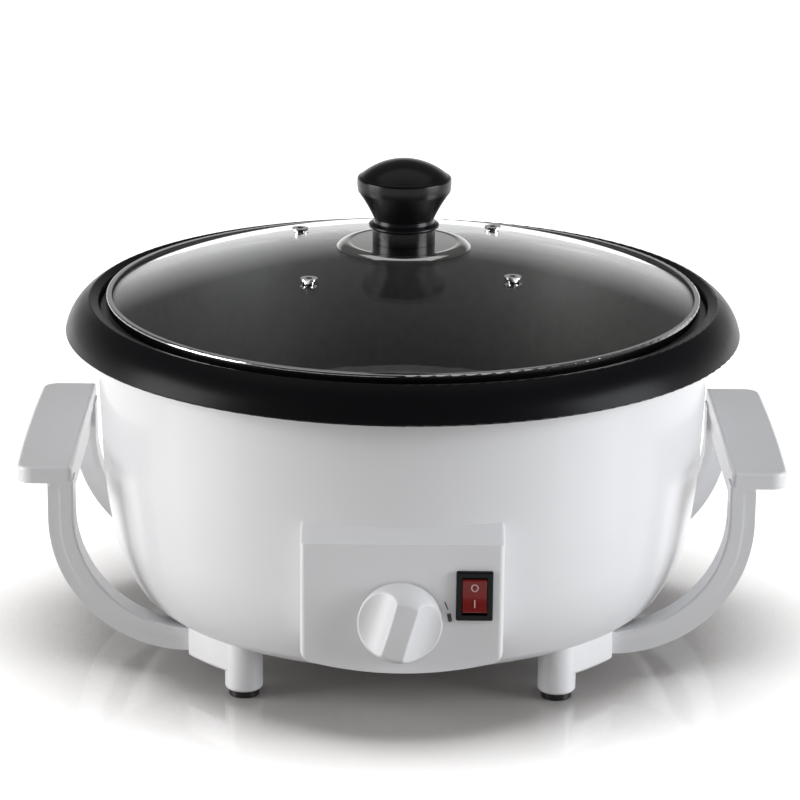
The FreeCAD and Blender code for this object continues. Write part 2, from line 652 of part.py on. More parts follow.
def rim_bezel():
    skirt = "shell_top_radius - wall - fit_gap * 2"
    profile = [
        (skirt, "rim_low - skirt_drop"),
        (skirt, "rim_low"),
        (RIM_RADIUS + " - rim_edge", "rim_low"),
        ("arc", RIM_RADIUS + " - rim_edge * 0.29", "rim_low + rim_edge * 0.29"),
        (RIM_RADIUS, "rim_low + rim_edge"),
        ("arc", "(%s + %s) / 2 + rim_bulge" % (RIM_RADIUS, RIM_CREST), "(rim_low + rim_top) / 2 + rim_bulge"),
        (RIM_CREST + " + rim_ridge", "rim_top - rim_ridge * 0.45"),
        ("arc", RIM_CREST, "rim_top"),
        (RIM_CREST + " - rim_ridge", "rim_top - rim_ridge * 0.2"),
        ("rim_mouth", "rim_top - rim_dip"),
        ("rim_mouth", "ledge_level"),
        ("ledge_radius", "ledge_level"),
        ("ledge_radius", "ledge_level - ledge_thick"),
        (skirt + " - 2", "ledge_level - ledge_thick"),
        (skirt + " - 2", "rim_low - skirt_drop"),
    ]
    return revolved("RimBezel", profile)


def rubber_foot(tag, sx, sy):
    x, y = "%d * leg_place_x" % sx, "%d * leg_place_y" % sy
    pad = cylinder("FootPad" + tag, "foot_radius", "foot_height", x, y)
    stem = cylinder("FootStem" + tag, "foot_stem_radius", "foot_height + foot_stem_length - 1", x, y)
    soft = rounded("FootRound" + tag, pad, "foot_height / 5", lambda e: at_level(e, "z", 0.0))
    return fuse("Foot" + tag, soft, stem)


def quarter(centre_x, level, radius):
    """A quarter turn of the arm, from upright to the face of the block that it enters."""
    foot = "%s - sqrt(pow(%s; 2) - pow(block_end_x - %s; 2))" % (level, radius, centre_x)
    return [
        ("%s + %s" % (centre_x, radius), level),
        ("arc", "%s + %s * cos(45 deg)" % (centre_x, radius), "%s - %s * sin(45 deg)" % (level, radius)),
        ("block_end_x", foot),
    ]


def arm_band(outer, inner, top):
    """The outline between two of the arm's curves, from a level under the grip down to the block."""
    down, up = quarter(*outer), quarter(*inner)
    return [(down[0][0], top), *down, *up[::-1], (up[0][0], top)]


ARM_CENTRE = ("block_end_x", "(arm_low + arm_radius)")
INNER_CENTRE = ("arm_inner_x", "arm_inner_level")


def handle_right():
    """One moulding: grip, web and two arms of angle section, each with a solid root at its block."""
    outer, inner = (*ARM_CENTRE, "arm_radius"), (*INNER_CENTRE, "arm_inner_radius")
    flange = (*INNER_CENTRE, "(arm_inner_radius + arm_flange)")
    beyond, step = (*ARM_CENTRE, "(arm_radius + 1)"), (*ARM_CENTRE, "(arm_radius - step_width)")
    under_grip = "grip_top - grip_thick + 1"
    end_x, arm_top = value("block_end_x"), value(under_grip)
    parts = []
    takes = []
    for end, face, plate_y, depth_y, recess_y in (
        ("Front", "-grip_half", "-grip_half", "-grip_half + arm_plate / 2", "-grip_half - step_depth"),
        ("Rear", "grip_half", "grip_half - arm_plate", "grip_half - arm_depth", "grip_half - step_depth"),
    ):
        plate = padded("ArmPlate" + end, "XZ_Plane", arm_band(outer, inner, under_grip), "arm_plate",
                       y=plate_y)
        show = value(face)
        parts.append(rounded("ArmRound" + end, plate, "arm_round", lambda e: (
            at_level(e, "y", show) and not at_level(e, "x", end_x) and not at_level(e, "z", arm_top))))
        depth = "arm_depth - arm_plate / 2"
        parts.append(padded("ArmFlange" + end, "XZ_Plane", arm_band(flange, inner, under_grip), depth,
                            y=depth_y))
        full = padded("ArmFull" + end, "XZ_Plane", arm_band(outer, inner, under_grip), depth, y=depth_y)
        root = box("ArmRootBox" + end, "block_end_x", "block_end_x + arm_root", "-grip_half", "grip_half",
                   "0", "arm_inner_level")
        parts.append(common("ArmRoot" + end, full, root))
        takes.append(padded("ArmStep" + end, "XZ_Plane", arm_band(beyond, step, "grip_top - grip_thick - 1"),
                            "step_depth * 2", y=recess_y))
        parts.append(tenon_box("Tenon" + end, 1, -1 if end == "Front" else 1, "0"))
    grip = padded("GripBlock", "XY_Plane", grip_outline(), "grip_thick", z="grip_top - grip_thick")
    top = value("grip_top")
    parts.append(rounded("GripRound", grip, "grip_round", lambda e: at_level(e, "z", top)))
    parts.append(box("GripWeb", "grip_inner_x + web_step", "grip_inner_x + web_step + wall",
                     "-grip_half + arm_depth - 1", "grip_half - arm_depth + 1",
                     "web_low", "grip_top - grip_thick + 1"))
    takes.append(box("GripHollow", "grip_inner_x + web_step + wall", "grip_outer_x - wall",
                     "-grip_half + arm_depth + 3", "grip_half - arm_depth - 3",
                     "grip_top - grip_thick - 1", "grip_top - wall"))
    for sy in (-1, 1):
        x, y = handle_screw_place(1, sy)
        takes.append(cylinder("TenonPilot%d" % (sy + 1), "screw_radius", "4.5", x, y, "tenon_low - 0.5"))
    return cut("HandleRight", fuse("HandleWhole", *parts), *takes)


def grip_outline():
    """The grip seen from above: straight beside the casing, slightly bowed on the other side."""
    small, large = "grip_inner_corner", "grip_corner"
    return [
        ("grip_inner_x + " + small, "-grip_half"),
        ("grip_outer_x - " + large, "-grip_half"),
        ("arc", "grip_outer_x - %s * 0.293" % large, "-grip_half + %s * 0.293" % large),
        ("grip_outer_x", "-grip_half + " + large),
        ("arc", "grip_outer_x + grip_bow", "0"),
        ("grip_outer_x", "grip_half - " + large),
        ("arc", "grip_outer_x - %s * 0.293" % large, "grip_half - %s * 0.293" % large),
        ("grip_outer_x - " + large, "grip_half"),
        ("grip_inner_x", "grip_half"),
        ("grip_inner_x", "-grip_half + " + small),
        ("arc", "grip_inner_x + %s * 0.293" % small, "-grip_half + %s * 0.293" % small),
    ]


# ---------------------------------------------------------------- pan, heater and shield

def pan_side(offset):
    """The pan's wall and corner, outside or inside its sheet."""
    bulge = "pan_corner_bulge"
    return [
        ("pan_wall_radius" + offset, "pan_wall_level"),
        ("arc", "(pan_wall_radius + pan_floor_radius) / 2 + %s%s * 0.7" % (bulge, offset),
         "(pan_wall_level + pan_floor) / 2 - %s%s * 0.7" % (bulge, offset.replace("+", "-"))),
    ]


def roasting_pan():
    sheet = " + pan_sheet"
    return revolved("RoastingPan", [
        ("pan_mouth_radius", "ledge_level + pan_sheet"),
        *pan_side(""),
        ("pan_floor_radius", "pan_floor"),
        ("collar_radius", "pan_floor"),
        ("collar_radius", "collar_top"),
        ("collar_bore", "collar_top"),
        ("collar_bore", "pan_floor - pan_sheet"),
        ("pan_floor_radius", "pan_floor - pan_sheet"),
        *pan_side(sheet)[::-1],
        ("pan_mouth_radius" + sheet, "ledge_level"),
        ("pan_flange_radius", "ledge_level"),
        ("pan_flange_radius", "ledge_level + pan_sheet"),
    ])


def element_tails():
    """Where the element's two ends turn down, as expressions."""
    swing = "element_gap_angle / 2"
    return [("%d * element_ring_radius * sin(%s)" % (side, swing), "element_ring_radius * cos(%s)" % swing)
            for side in (-1, 1)]


ELEMENT_LEVEL = "pan_floor - pan_sheet - element_radius"


def heating_element():
    ring = DOC.addObject("Part::Torus", "ElementRing")
    bind(ring, "Radius1", "element_ring_radius")
    bind(ring, "Radius2", "element_radius")
    bind(ring, "Angle3", "360 - element_gap_angle")
    place(ring, z=ELEMENT_LEVEL, rotation=Rotation(Vector(0, 0, 1), 90 + value("element_gap_angle / 2")))
    tails = [
        cylinder("ElementTail%d" % index, "element_radius", "%s - element_end_level" % ELEMENT_LEVEL,
                 x, y, "element_end_level")
        for index, (x, y) in enumerate(element_tails())
    ]
    return fuse("HeatingElement", ring, *tails)


def element_terminals():
    return group("ElementTerminals", [
        cylinder("TerminalPin%d" % index, "pin_radius", "pin_length", x, y, "element_end_level - pin_length")
        for index, (x, y) in enumerate(element_tails())
    ])


def element_clips():
    """Three straps that hold the tube up against the pan."""
    straps = []
    half = "(element_radius + clip_sheet + 0.1)"
    for index, angle in enumerate((270, 30, 150)):
        strap = padded("Clip%d" % index, "XZ_Plane", [
            ("element_ring_radius - " + half, ELEMENT_LEVEL + " - element_radius - clip_sheet"),
            ("element_ring_radius + " + half, ELEMENT_LEVEL + " - element_radius - clip_sheet"),
            ("element_ring_radius + " + half, "pan_floor - pan_sheet"),
            ("element_ring_radius + %s - clip_sheet" % half, "pan_floor - pan_sheet"),
            ("element_ring_radius + %s - clip_sheet" % half, ELEMENT_LEVEL + " - element_radius"),
            ("element_ring_radius - %s + clip_sheet" % half, ELEMENT_LEVEL + " - element_radius"),
            ("element_ring_radius - %s + clip_sheet" % half, "pan_floor - pan_sheet"),
            ("element_ring_radius - " + half, "pan_floor - pan_sheet"),
        ], "clip_width")
        strap.Placement = Placement(Vector(), Rotation(Vector(0, 0, 1), angle))
        straps.append(strap)
    return group("ElementClips", straps)


def heat_shield():
    sheet = " - shield_sheet"
    bowl = revolved("ShieldBowl", [
        ("shield_radius", "ledge_level - ledge_thick"),
        ("shield_waist_radius", "shield_waist_level"),
        ("shield_floor_radius", "shield_floor"),
        ("bush_radius + 2", "shield_floor"),
        ("bush_radius + 2", "shield_floor + shield_sheet"),
        ("shield_floor_radius" + sheet, "shield_floor + shield_sheet"),
        ("shield_waist_radius" + sheet, "shield_waist_level"),
        ("shield_radius" + sheet, "ledge_level - ledge_thick"),
    ])
    drills = [
        cylinder("ShieldTailHole%d" % index, "element_radius + 1", "6", x, y, "shield_floor - 3")
        for index, (x, y) in enumerate(element_tails())
    ]
    drills += [
        cylinder("ShieldDrill%d" % index, "screw_radius + 0.1", "6", x, y, "shield_floor - 3")
        for index, (x, y) in enumerate(quarters("post_ring_radius", "45"))
    ]
    return cut("HeatShield", bowl, *drills)


# ---------------------------------------------------------------- gear motor

CENTRES = "(module_size * (wheel_teeth + pinion_teeth) / 2 + centre_slack)"
IDLER_X = CENTRES
ROTOR_X = "(%s * 2)" % CENTRES
TRAY_LOW = "(base_level + wall)"
TRAY_TOP = "(%s + tray_height)" % TRAY_LOW
TRAY_SCREWS = [
    ("tray_left + 5", "-tray_half + 5"),
    ("tray_right - 5", "-tray_half + 5"),
    ("tray_right - 5", "tray_half - 5"),
    ("tray_left + 5", "tray_half - 5"),
]


def gear_blank(teeth, width):
    """A spur gear with a tooth centred on +X and its lower face at zero."""
    maker = fcgear.FCWireBuilder()
    involute.CreateExternalGear(maker, value("module_size"), int(value(teeth)), 20, True)
    wire = Part.Wire([curve.toShape() for curve in maker.wire])
    return Part.Face(wire).extrude(Vector(0, 0, value(width)))


def disc(radius, low, high, x=0.0, y=0.0):
    return Part.makeCylinder(radius, high - low, Vector(x, y, low))


def meshed(angle_to_mate, own_teeth, mate_teeth, mate_turn):
    """How far to turn a gear so that it meshes with a mate that lies the other way."""
    mate_phase = (angle_to_mate - mate_turn) * mate_teeth / 360.0
    return angle_to_mate + 180.0 - (0.5 - mate_phase) * 360.0 / own_teeth


def gear_feature(name, shape, x="0"):
    item = DOC.addObject("Part::Feature", name)
    item.Shape = shape.removeSplitter()
    item.Placement = Placement(Vector(value(x), 0, 0), Rotation())
    return item


def output_gear():
    low, width = value("gear_low"), value("gear_width")
    wheel = gear_blank("wheel_teeth", "gear_width")
    wheel.translate(Vector(0, 0, low))
    hub_top = low + width + value("output_hub_rise")
    hub = disc(value("shaft_radius + output_hub_wall"), low, hub_top)
    bore = disc(value("shaft_radius"), low - width, hub_top + width)
    return gear_feature("OutputGear", wheel.fuse(hub).cut(bore))


def idler_gear():
    low, width, upper = value("gear_low"), value("gear_width"), value("upper_gear_low")
    pinion = gear_blank("pinion_teeth", "gear_width + pinion_rise * 2")
    turn = meshed(0.0, value("pinion_teeth"), value("wheel_teeth"), 0.0)
    pinion.rotate(Vector(), Vector(0, 0, 1), turn)
    pinion.translate(Vector(0, 0, low - value("pinion_rise")))
    wheel = gear_blank("wheel_teeth", "gear_width")
    wheel.translate(Vector(0, 0, upper))
    hub = disc(value("idler_hub_radius"), value(TRAY_LOW + " + tray_wall + free_gap"), upper + width + 0.8)
    bore = disc(value("idler_pin_radius + run_gap"), 0, upper + width * 2)
    return gear_feature("IdlerGear", pinion.fuse(wheel).fuse(hub).cut(bore), IDLER_X)


def magnet_rotor():
    upper, width = value("upper_gear_low"), value("gear_width")
    pinion = gear_blank("pinion_teeth", "gear_width + 0.4")
    turn = meshed(0.0, value("pinion_teeth"), value("wheel_teeth"), 0.0)
    pinion.rotate(Vector(), Vector(0, 0, 1), turn)
    pinion.translate(Vector(0, 0, upper - 0.2))
    stack = value("stator_low"), value("stator_low + stack_height")
    magnet = disc(value("rotor_radius"), stack[0] + 0.4, stack[1] - 0.4)
    neck = disc(value("rotor_pin_radius + 2"), stack[0] + 1, upper)
    ends = value(TRAY_LOW + " + 0.8"), value(TRAY_TOP + " + tray_wall - 0.8")
    spindle = disc(value("rotor_pin_radius"), *ends)
    return gear_feature("MagnetRotor", magnet.fuse(neck).fuse(pinion).fuse(spindle), ROTOR_X)


def gearbox_tray():
    outer = box("TrayOuter", "tray_left", "tray_right", "-tray_half", "tray_half", TRAY_LOW, TRAY_TOP)
    inner = box("TrayInner", "tray_left + tray_wall", "tray_right - tray_wall", "-tray_half + tray_wall",
                "tray_half - tray_wall", TRAY_LOW + " + tray_wall", TRAY_TOP + " + 1")
    pillars = [
        cylinder("TrayPillar%d" % index, "screw_radius + 2", "tray_height", x, y, TRAY_LOW)
        for index, (x, y) in enumerate(TRAY_SCREWS)
    ]
    seats = []
    for index, start in enumerate((ROTOR_X + " - seat_start", ROTOR_X + " + seat_end")):
        for side, y0, y1 in (("Front", "-stack_half", "-stack_half + seat_width"),
                             ("Rear", "stack_half - seat_width", "stack_half")):
            seats.append(box("StatorSeat%s%d" % (side, index), start, start + " + seat_length", y0, y1,
                             TRAY_LOW, "stator_low"))
    holes = [
        cylinder("TrayDrill%d" % index, "screw_radius + 0.1", "tray_height + 4", x, y, TRAY_LOW + " - 2")
        for index, (x, y) in enumerate(TRAY_SCREWS)
    ]
    holes.append(cylinder("ShaftPocket", "shaft_radius + run_gap", "5", z="shaft_low - 0.2"))
    holes.append(cylinder("IdlerPinHole", "idler_pin_radius", "4", IDLER_X, z=TRAY_LOW + " + 0.5"))
    holes.append(cylinder("RotorPocket", "rotor_pin_radius + run_gap", "4", ROTOR_X, z=TRAY_LOW + " + 0.6"))
    return cut("GearboxTray", fuse("TrayWhole", cut("TrayCup", outer, inner), *pillars, *seats), *holes)


def gearbox_cover():
    plate = box("CoverPlate", "tray_left", "tray_right", "-tray_half", "tray_half",
                TRAY_TOP, TRAY_TOP + " + tray_wall")
    holes = [
        cylinder("CoverDrill%d" % index, "screw_radius + 0.1", "6", x, y, TRAY_TOP + " - 2")
        for index, (x, y) in enumerate(TRAY_SCREWS)
    ]
    holes.append(cylinder("CoverBushHole", "bush_radius", "6", z=TRAY_TOP + " - 2"))
    holes.append(cylinder("CoverPinHole", "idler_pin_radius", "3", IDLER_X, z=TRAY_TOP + " - 2"))
    holes.append(cylinder("CoverRotorHole", "rotor_pin_radius + run_gap", "tray_wall + 1.4",
                          ROTOR_X, z=TRAY_TOP + " - 2"))
    return cut("GearboxCover", plate, *holes)


def idler_pin():
    return cylinder("IdlerPin", "idler_pin_radius", "tray_height + 0.5", IDLER_X, z=TRAY_LOW + " + 0.5")


def stator():
    start, end = ROTOR_X + " - stator_bore - 3", "tray_right - tray_wall - coil_build - 0.5"
    block = box("StatorBlock", start, end, "-stack_half", "stack_half",
                "stator_low", "stator_low + stack_height")
    bore = cylinder("StatorBore", "stator_bore", "stack_height + 2", ROTOR_X, z="stator_low - 1")
    window = box("StatorWindow", ROTOR_X + " + stator_bore + 5", end + " - limb_width",
                 "-coil_half - 0.5", "coil_half + 0.5", "stator_low - 1", "stator_low + stack_height + 1")
    return cut("StatorStack", block, bore, window)


def stator_coil():
    end = "tray_right - tray_wall - coil_build - 0.5"
    outer = box("CoilOuter", end + " - limb_width - coil_build", end + " + coil_build",
                "-coil_half", "coil_half",
                TRAY_LOW + " + tray_wall", "stator_low + stack_height + coil_build")
    inner = box("CoilInner", end + " - limb_width", end, "-coil_half - 1", "coil_half + 1",
                "stator_low", "stator_low + stack_height")
    return cut("StatorCoil", outer, inner)


HUB_SEAT = "collar_top + seal_height + 1"


def flatted_rod(name, low):
    """The shaft from a level up to its top, with the flat that drives the hub."""
    rod = cylinder(name + "Rod", "shaft_radius", "shaft_top - " + low, z=low)
    flat = box(name + "Flat", "shaft_radius - shaft_flat", "shaft_radius + 1",
               "-shaft_radius", "shaft_radius", HUB_SEAT, "shaft_top + 1")
    return cut(name, rod, flat)


def tube(name, outer, inner, length, z):
    shell = cylinder(name + "Outer", outer, length, z=z)
    return cut(name, shell, cylinder(name + "Bore", inner, length + " + 2", z=z + " - 1"))


def shaft_seal():
    return tube("ShaftSeal", "collar_radius", "shaft_radius + 0.1", "seal_height", "collar_top")


# ---------------------------------------------------------------- stirrer

def stirrer_hub():
    cap = revolved("HubCap", [
        ("0", "hub_top"),
        ("hub_radius - 6", "hub_top"),
        ("arc", "hub_radius - 1.7", "hub_top - 3"),
        ("hub_radius", "hub_top - 9"),
        ("hub_radius", "hub_low"),
        ("collar_radius + 1", "hub_low"),
        ("collar_radius + 1", HUB_SEAT),
        ("0", HUB_SEAT),
    ])
    slots = [paddle_solid("HubSlot" + tag, sx) for tag, sx in PADDLES]
    return cut("StirrerHub", cap, flatted_rod("HubBore", "collar_top"), *slots)


PADDLES = (("Long", 1), ("Short", -1))


def paddle_solid(name, sx):
    """A flat blade along the floor with an upright fin; its inner end is plugged into the hub."""
    reach = "paddle_reach" if sx > 0 else "paddle_reach - 22"
    start = "collar_radius + 2.4"
    xs = (start, reach) if sx > 0 else ("-(%s)" % reach, "-(%s)" % start)
    fin = ("fin_start", reach) if sx > 0 else ("-(%s)" % reach, "-fin_start")
    blade = box(name + "Blade", *xs, "-paddle_half", "paddle_half", "paddle_low", "paddle_low + paddle_sheet")
    upright = box(name + "Fin", *fin, "-paddle_sheet / 2", "paddle_sheet / 2",
                  "paddle_low", "paddle_low + fin_height")
    neck = (start, "fin_start + 1") if sx > 0 else ("-(fin_start + 1)", "-(%s)" % start)
    spine = box(name + "Spine", *neck, "-paddle_sheet / 2", "paddle_sheet / 2",
                "paddle_low", "paddle_low + paddle_sheet * 3")
    return fuse(name, blade, upright, spine)


# ---------------------------------------------------------------- controls

PANEL_SCREWS = [("-panel_half + 7.5", "(window_low + window_high) / 2 + 4"), ("10", "window_high + 4")]


def panel_screw_seat(x):
    """Where a panel screw's head bears, just inside the shell."""
    return "-sqrt(pow(shoulder_radius - wall; 2) - pow(%s; 2)) + wall + 0.8" % x


def panel_section(sides, front, corner):
    """The panel seen from above, straight across its face."""
    return [
        ("-" + sides, "-base_radius"),
        ("-" + sides, "%s + %s" % (front, corner)),
        ("arc", "-%s + %s * 0.293" % (sides, corner), "%s + %s * 0.293" % (front, corner)),
        ("-%s + %s" % (sides, corner), front),
        ("%s - %s" % (sides, corner), front),
        ("arc", "%s - %s * 0.293" % (sides, corner), "%s + %s * 0.293" % (front, corner)),
        (sides, "%s + %s" % (front, corner)),
        (sides, "-base_radius"),
    ]


def panel_front(name, sides, low):
    """The panel seen from the front, with its bowed lower edge and rounded lower corners."""
    turn_x, turn_z = "%s - panel_corner" % sides, "%s + panel_corner_rise" % low
    side_z = turn_z + " + panel_corner * 1.3"
    mid_x, mid_z = "%s - panel_corner * 0.28" % sides, turn_z + " + panel_corner * 0.475"
    return padded(name, "XZ_Plane", [
        ("-" + sides, "panel_top"),
        ("-" + sides, side_z),
        ("arc", "-(%s)" % mid_x, mid_z),
        ("-(%s)" % turn_x, turn_z),
        ("arc", "0", low),
        (turn_x, turn_z),
        ("arc", mid_x, mid_z),
        (sides, side_z),
        (sides, "panel_top"),
    ], "panel_face - base_radius + 4", y="-panel_face - 2")


def panel_bevel():
    """From the face's straight upper line back to the casing's round side."""
    corner = "panel_round"
    end_x = "(panel_half - panel_round)"
    end_y = "-sqrt(pow(shoulder_radius; 2) - pow(%s; 2))" % end_x
    upper = [
        ("-panel_half", "-base_radius"),
        ("-panel_half", "%s + %s" % (end_y, corner)),
        ("arc", "-panel_half + %s * 0.293" % corner, "%s + %s * 0.293" % (end_y, corner)),
        ("-" + end_x, end_y),
        ("arc", "0", "-shoulder_radius"),
        (end_x, end_y),
        ("arc", "panel_half - %s * 0.293" % corner, "%s + %s * 0.293" % (end_y, corner)),
        ("panel_half", "%s + %s" % (end_y, corner)),
        ("panel_half", "-base_radius"),
    ]
    body = DOC.addObject("PartDesign::Body", "PanelBevel")
    low = draw(body, "XY_Plane", panel_section("panel_half", "-panel_face", corner))
    bind(low, "AttachmentOffset.Base.z", "panel_bevel_low")
    high = draw(body, "XY_Plane", upper)
    bind(high, "AttachmentOffset.Base.z", "panel_top")
    DOC.recompute()
    loft = body.newObject("PartDesign::AdditiveLoft", "PanelBevelLoft")
    loft.Profile = low
    loft.Sections = [high]
    loft.Ruled = True
    body.Tip = loft
    return body


def control_panel():
    form = padded("PanelColumn", "XY_Plane",
                  panel_section("panel_half", "-panel_face", "panel_round"),
                  "panel_bevel_low - panel_low + 2", z="panel_low - 2")
    raw = common("PanelRaw", fuse("PanelForm", form, panel_bevel()),
                 panel_front("PanelFront", "panel_half", "panel_low"))
    inner = padded("PanelInner", "XY_Plane",
                   panel_section("(panel_half - panel_side)", "(-panel_face + panel_wall)",
                                 "(panel_round / 4)"),
                   "panel_bevel_low - panel_low + 3", z="panel_low - 2")
    hollow = common("PanelHollow", inner,
                    panel_front("PanelInnerFront", "(panel_half - panel_side)", "(panel_low + panel_wall)"))
    bosses = [
        cylinder("PanelBoss%d" % index, "post_radius", "panel_face - base_radius",
                 x, "-panel_face + panel_wall - 1", z, "Y")
        for index, (x, z) in enumerate(PANEL_SCREWS)
    ]
    whole = fuse("PanelWhole", cut("PanelCup", raw, hollow), *bosses)
    body = cut("PanelSkin", whole, casing_solid("PanelSeat"))
    thickness = "panel_wall + 4"
    takes = [
        box("SwitchHole", "switch_x - bezel_width / 2 + switch_neck",
            "switch_x + bezel_width / 2 - switch_neck", "-panel_face - 2", "-panel_face + %s" % thickness,
            "switch_level - bezel_height / 2 + switch_neck", "switch_level + bezel_height / 2 - switch_neck"),
        cylinder("DialHole", "shaft_radius + 0.4", "8", "dial_x", "-panel_face - 2", "dial_level", "Y"),
    ]
    takes += [
        cylinder("PanelPilot%d" % index, "screw_radius", "30", x, "-panel_face + panel_wall", z, "Y")
        for index, (x, z) in enumerate(PANEL_SCREWS)
    ]
    return cut("ControlPanel", body, *takes)


def temperature_dial():
    """A domed knob with a hollow on each side of its grip bar, leaning as it does when off."""
    dome = revolved("DialDome", [
        ("0", "0"),
        ("dial_radius", "0"),
        ("dial_radius", "dial_skirt"),
        ("arc", "dial_radius * 0.85", "dial_height * 0.48"),
        ("dial_radius * 0.58", "dial_height * 0.85"),
        ("arc", "dial_radius * 0.32", "dial_height * 0.965"),
        ("crown_flat", "dial_height"),
        ("0", "dial_height"),
    ])
    scoops = []
    for side in (-1, 1):
        away = "%d * (dial_bar + dial_scoop * 0.95)" % side
        scoops.append(cylinder("DialScoop%d" % (side + 1), "dial_scoop", "dial_radius * 3",
                               away, "-dial_radius * 1.5", "dial_scoop * 1.1", "Y"))
    raw = cut("DialForm", dome, *scoops)
    bored = cut("DialBored", raw, cylinder("DialBore", "shaft_radius", "dial_height - 5", z="-1"))
    turn = Rotation(Vector(0, 1, 0), value("dial_lean")) * Rotation(Vector(1, 0, 0), 90)
    return place(bored, "dial_x", "-panel_face - dial_gap", "dial_level", turn)


def dial_shaft():
    start = "-panel_face - dial_gap - dial_height + 6"
    return cylinder("DialShaft", "shaft_radius", "dial_height - 6 + dial_gap + panel_wall + 8",
                    "dial_x", start, "dial_level", "Y")


def thermostat():
    back = "-panel_face + panel_wall"
    drum = cylinder("ThermostatDrum", "thermostat_radius", "thermostat_length",
                    "dial_x", back, "dial_level", "Y")
    tag_box = box("ThermostatTag", "dial_x - 9", "dial_x + 9", back + " + thermostat_length - 1",
                  back + " + thermostat_length + 4", "dial_level - 5", "dial_level + 5")
    bore = cylinder("ThermostatBore", "shaft_radius + run_gap", "8.5", "dial_x", back, "dial_level", "Y")
    return cut("Thermostat", fuse("ThermostatWhole", drum, tag_box), bore)


def switch_body():
    x, z = "switch_x", "switch_level"
    bezel = box("SwitchBezel", x + " - bezel_width / 2", x + " + bezel_width / 2",
                "-panel_face - bezel_proud", "-panel_face",
                z + " - bezel_height / 2", z + " + bezel_height / 2")
    front = value("-panel_face - bezel_proud")
    soft = rounded("SwitchBezelRound", bezel, "bezel_proud / 3", lambda e: (
        at_level(e, "y", front) or spans(e, "y") > 1))
    neck = "bezel_width / 2 - switch_neck - 0.1"
    tall = "bezel_height / 2 - switch_neck - 0.1"
    case = box("SwitchCase", "%s - (%s)" % (x, neck), "%s + (%s)" % (x, neck), "-panel_face",
               "-panel_face + switch_depth", "%s - (%s)" % (z, tall), "%s + (%s)" % (z, tall))
    hollow = box("SwitchHollow", x + " - rocker_width / 2 - free_gap / 2",
                 x + " + rocker_width / 2 + free_gap / 2",
                 "-panel_face - bezel_proud - 1", "-rocker_pivot + 5",
                 z + " - rocker_height / 2 - rocker_room", z + " + rocker_height / 2 + rocker_room")
    pins = cylinder("SwitchPinHole", "rocker_pin_radius + run_gap", "rocker_width + 2.4",
                    x + " - rocker_width / 2 - 1.2", "-rocker_pivot", z, "X")
    tabs = [box("SwitchTab%d" % index, x + start, x + start + " + 0.8", "-panel_face + switch_depth - 0.5",
                "-panel_face + switch_depth + 7", z + " - 3", z + " + 3")
            for index, start in enumerate((" - 4", " + 3.2"))]
    return fuse("SwitchBody", cut("SwitchFrame", fuse("SwitchSolid", soft, case), hollow, pins), *tabs)


def switch_rocker():
    """Drawn about its pivot, then tipped so that its upper half is pressed in."""
    half = "rocker_height / 2"
    body = padded("RockerBlock", "YZ_Plane", [
        ("-rocker_reach", half),
        ("arc", "-rocker_reach + rocker_dip", "0"),
        ("-rocker_reach", "-" + half),
        ("-1", "-" + half),
        ("arc", "3", "0"),
        ("-1", half),
    ], "rocker_width", x="-rocker_width / 2")
    pins = cylinder("RockerPins", "rocker_pin_radius", "rocker_width + 1.8",
                    "-rocker_width / 2 - 0.9", axis="X")
    reach = value("-rocker_reach")
    soft = rounded("RockerSoft", body, "0.5", lambda e: (
        abs(e.BoundBox.YMin - reach) < 0.01 and spans(e, "x") > 1))
    whole = fuse("SwitchRocker", soft, pins)
    tip = Rotation(Vector(1, 0, 0), -value("rocker_throw / 2"))
    return place(whole, "switch_x", "-rocker_pivot", "switch_level", tip)


# ---------------------------------------------------------------- lid

def glass_curve(drop):
    chord = "(glass_apex + glass_edge) / 2"
    return [
        ("lid_hole", "glass_apex" + drop),
        ("arc", "(lid_hole + glass_radius) / 2", chord + " + glass_bulge" + drop),
        ("glass_radius", "glass_edge" + drop),
    ]


VENT_LEVEL = "(glass_apex - (glass_apex - glass_edge) * pow(vent_ring_radius / glass_radius; 2) + 0.1)"


def vent_places():
    turns = ["(vent_first_angle + %d)" % (90 * step) for step in range(4)]
    return [("vent_ring_radius * cos(%s)" % a, "vent_ring_radius * sin(%s)" % a) for a in turns]


def glass_lid():
    dome = revolved("GlassDome", glass_curve("") + glass_curve(" - glass_thick")[::-1])
    holes = [
        cylinder("VentHole%d" % index, "vent_barrel + 0.1", "14", x, y, VENT_LEVEL + " - 8")
        for index, (x, y) in enumerate(vent_places())
    ]
    return cut("GlassLid", dome, *holes)


def vent_grommets():
    """Eyelets that stand upright through the sloping glass."""
    eyelets = []
    slope = "vent_radius * 0.2"
    for index, (x, y) in enumerate(vent_places()):
        top = VENT_LEVEL + " + " + slope
        low = VENT_LEVEL + " - glass_thick - " + slope
        barrel = cylinder("VentBarrel%d" % index, "vent_barrel", "glass_thick + 2 * %s" % slope, x, y, low)
        upper = cylinder("VentFlange%d" % index, "vent_radius", "0.8", x, y, top)
        lower = cylinder("VentFoot%d" % index, "vent_radius", "0.8", x, y, low + " - 0.8")
        bore = cylinder("VentBore%d" % index, "vent_bore", "glass_thick + 8", x, y, low + " - 2")
        eyelets.append(cut("Vent%d" % index, fuse("VentSolid%d" % index, barrel, upper, lower), bore))
    return group("VentGrommets", eyelets)


RING_LOW = "(ledge_level + pan_sheet + seat_gap)"


